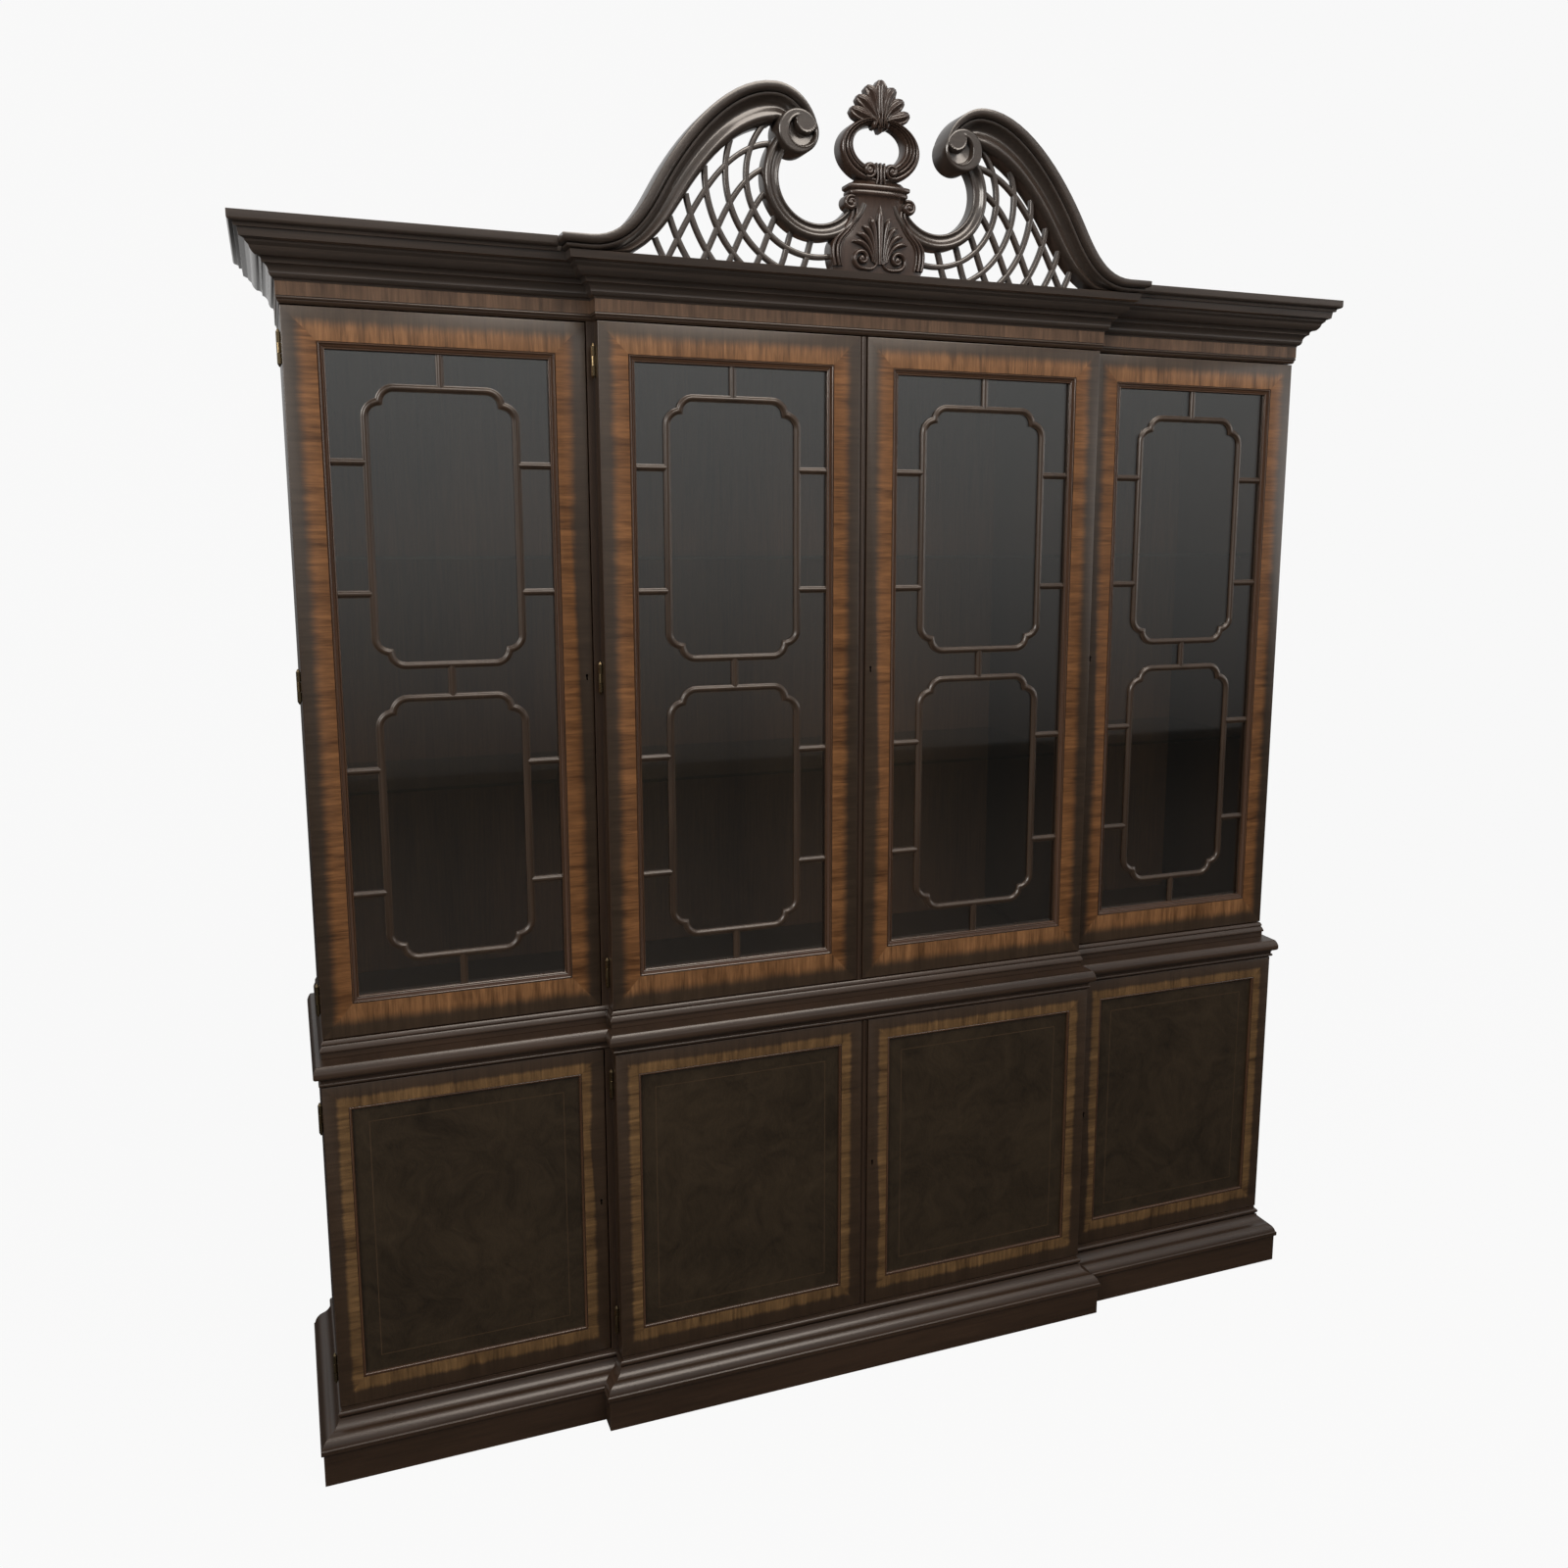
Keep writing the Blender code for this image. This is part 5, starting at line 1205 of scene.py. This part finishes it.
for side in (-1, 1):
    for inset, half, height in ((0.0042, 0.0040, 0.0085), (0.0118, 0.0034, 0.0078),
                                (0.0175, 0.0020, 0.0040)):
        path = [(side * (p - inset), finial_low.z + z) for p, z in vase_line if z > 0.004]
        carved(shape, path, (half, half, half * 0.9), (height, height, height * 0.8),
               face_bed + rounding * (1 - inset * 12) ** 3)
    for start, first, second, end, half in (
            ((0.0052, 0.014), (0.0078, 0.050), (0.0105, 0.086), (0.0205, 0.0930), 0.0050),
            ((0.0082, 0.015), (0.0108, 0.048), (0.0175, 0.076), (0.0345, 0.0775), 0.0050),
            ((0.0112, 0.016), (0.0138, 0.044), (0.0245, 0.066), (0.0450, 0.0640), 0.0050),
            ((0.0140, 0.018), (0.0165, 0.036), (0.0310, 0.055), (0.0535, 0.0500), 0.0048)):
        carved(shape, curved(start, first, second, end, side=side),
               [half * s for s in (0.40, 0.55, 0.75, 0.95, 1.10, 1.05, 0.30)],
               (0.0050, 0.0066, 0.0074, 0.0082, 0.0090, 0.0094, 0.0030), face_bed, thick=0.003)
    scroll = curved((0.0050, 0.0190), (0.0075, 0.0060), (0.0180, 0.0030), (0.0300, 0.0050), 8,
                    side)
    scroll += coiled(0.0345, 0.0225, 0.0172, side, -95, -1.35)[1:]
    carved(shape, scroll, (0.0022, 0.0040, 0.0044, 0.0040, 0.0034, 0.0026),
           (0.0050, 0.0072, 0.0080, 0.0084, 0.0086, 0.0088), face_bed, thick=0.004)
    boss(shape, side * 0.0345, 0.0225, face_bed - 0.0036, 0.0052)
    for x, z, radius, start, turns, bed in ((0.0560, 0.1150, 0.0120, 120, 1.5, 0.0105),
                                            (0.0214, 0.1730, 0.0125, -60, 1.5, 0.0086)):
        carved(shape, coiled(x, z, radius, side, start, turns),
               (0.0030, 0.0046, 0.0042, 0.0030), (0.0060, 0.0078, 0.0084, 0.0086),
               carving_front + bed, thick=0.022)
        boss(shape, side * x, z, carving_front + bed - 0.0022, radius * 0.50, 0.9)
carved(shape, curved((0, 0.014), (0, 0.050), (0, 0.090), (0, 0.1140)),
       (0.0040, 0.0050, 0.0058, 0.0070, 0.0078, 0.0066, 0.0014),
       (0.0062, 0.0078, 0.0086, 0.0092, 0.0094, 0.0092, 0.0030), face_bed, thick=0.003)
carved(shape, curved((0, 0.020), (0, 0.050), (0, 0.090), (0, 0.1080)),
       (0.0008, 0.0014, 0.0018, 0.0010), (0.0074, 0.0094, 0.0095, 0.0090), face_bed, thick=0.003)
for x, half in ((-0.0062, 0.0028), (0, 0.0034), (0.0062, 0.0028)):
    carved(shape, curved((x * 1.3, 0.150), (x * 0.8, 0.160), (x * 0.9, 0.172), (x * 1.25, 0.186)),
           (half, half, half * 1.1, half * 1.2, half * 0.6),
           (0.0060, 0.0075, 0.0080, 0.0070, 0.0040), face_bed, thick=0.022)

ring_half, ring_height, ring_middle, ring_steps = 0.0771, 0.0560, 0.2070, 96
ring_back, opening, opening_rise, lower_sink = 0.0374, 0.626, 0.0090, 0.0042
ring_line = ((1.000, ring_back), (1.000, 0.0150), (0.991, 0.0100), (0.974, 0.0062),
             (0.947, 0.0036), (0.916, 0.0030), (0.890, 0.0044), (0.875, 0.0084), (0.864, 0.0062),
             (0.846, 0.0034), (0.824, 0.0028), (0.805, 0.0042), (0.792, 0.0084), (0.780, 0.0060),
             (0.761, 0.0048), (0.741, 0.0062), (0.729, 0.0104), (0.715, 0.0090), (0.692, 0.0088),
             (0.666, 0.0112), (0.644, 0.0150), (0.630, 0.0200), (opening, 0.0250),
             (opening, ring_back))
rows = []
for i in range(ring_steps):
    angle = math.tau * i / ring_steps
    sink = lower_sink * max(-math.sin(angle), 0) ** 2
    rows.append([(ring_half * share * math.cos(angle),
                  carving_front + min(depth + sink, ring_back),
                  finial_low.z + ring_middle + opening_rise * (1 - share) / (1 - opening)
                  + ring_height * share * math.sin(angle))
                 for share, depth in ring_line])
skin(shape, rows, closed=True)

crest_foot, crest_bed, crest_step = 0.2440, carving_front + 0.0120, 0.0004
crest_halves = (0.22, 0.30, 0.42, 0.56, 0.72, 0.88, 1.0, 0.98, 0.86, 0.40)
crest_heights = (0.0114, 0.0110, 0.0100, 0.0092, 0.0094, 0.0106, 0.0116, 0.0114, 0.0050)
for order, (tip_x, tip_z, half) in enumerate(((0.0480, 0.2690, 0.0122), (0.0370, 0.2890, 0.0122),
                                              (0.0215, 0.3060, 0.0122), (0.0, 0.3160, 0.0126))):
    spread = 1 if tip_x else 0
    for side in (-1, 1) if tip_x else (1,):
        path = curved((0.0030 * spread, crest_foot), (0.0050 * spread, crest_foot + 0.020),
                      (tip_x * 0.60, tip_z - 0.002 * (3 - order) - 0.004), (tip_x, tip_z), 26, side)
        end = Vector(path[-1]) - Vector(path[-2])
        path += [tuple(Vector(path[-1]) + end.normalized() * s) for s in (0.0030, 0.0058, 0.0080)]
        carved(shape, path, [half * s for s in crest_halves], crest_heights,
               crest_bed - crest_step * order, ribs=2, thick=0.014, across_steps=24)
for tip_x, tip_z, half in ((0.0, 0.2375, 0.0078), (-0.0120, 0.2435, 0.0072),
                           (0.0120, 0.2435, 0.0072)):
    carved(shape, curved((tip_x * 0.3, 0.2680), (tip_x * 0.5, 0.2600), (tip_x * 0.9, 0.2500),
                         (tip_x, tip_z)), [half * s for s in (0.6, 1.0, 1.05, 0.9, 0.35)],
           (0.0085, 0.0100, 0.0108, 0.0100, 0.0060), carving_front + 0.0112, ribs=2, thick=0.016)
fit("finial_carving", shape, "case", "mahogany", (finial_wood,), "finial", sharp=60)
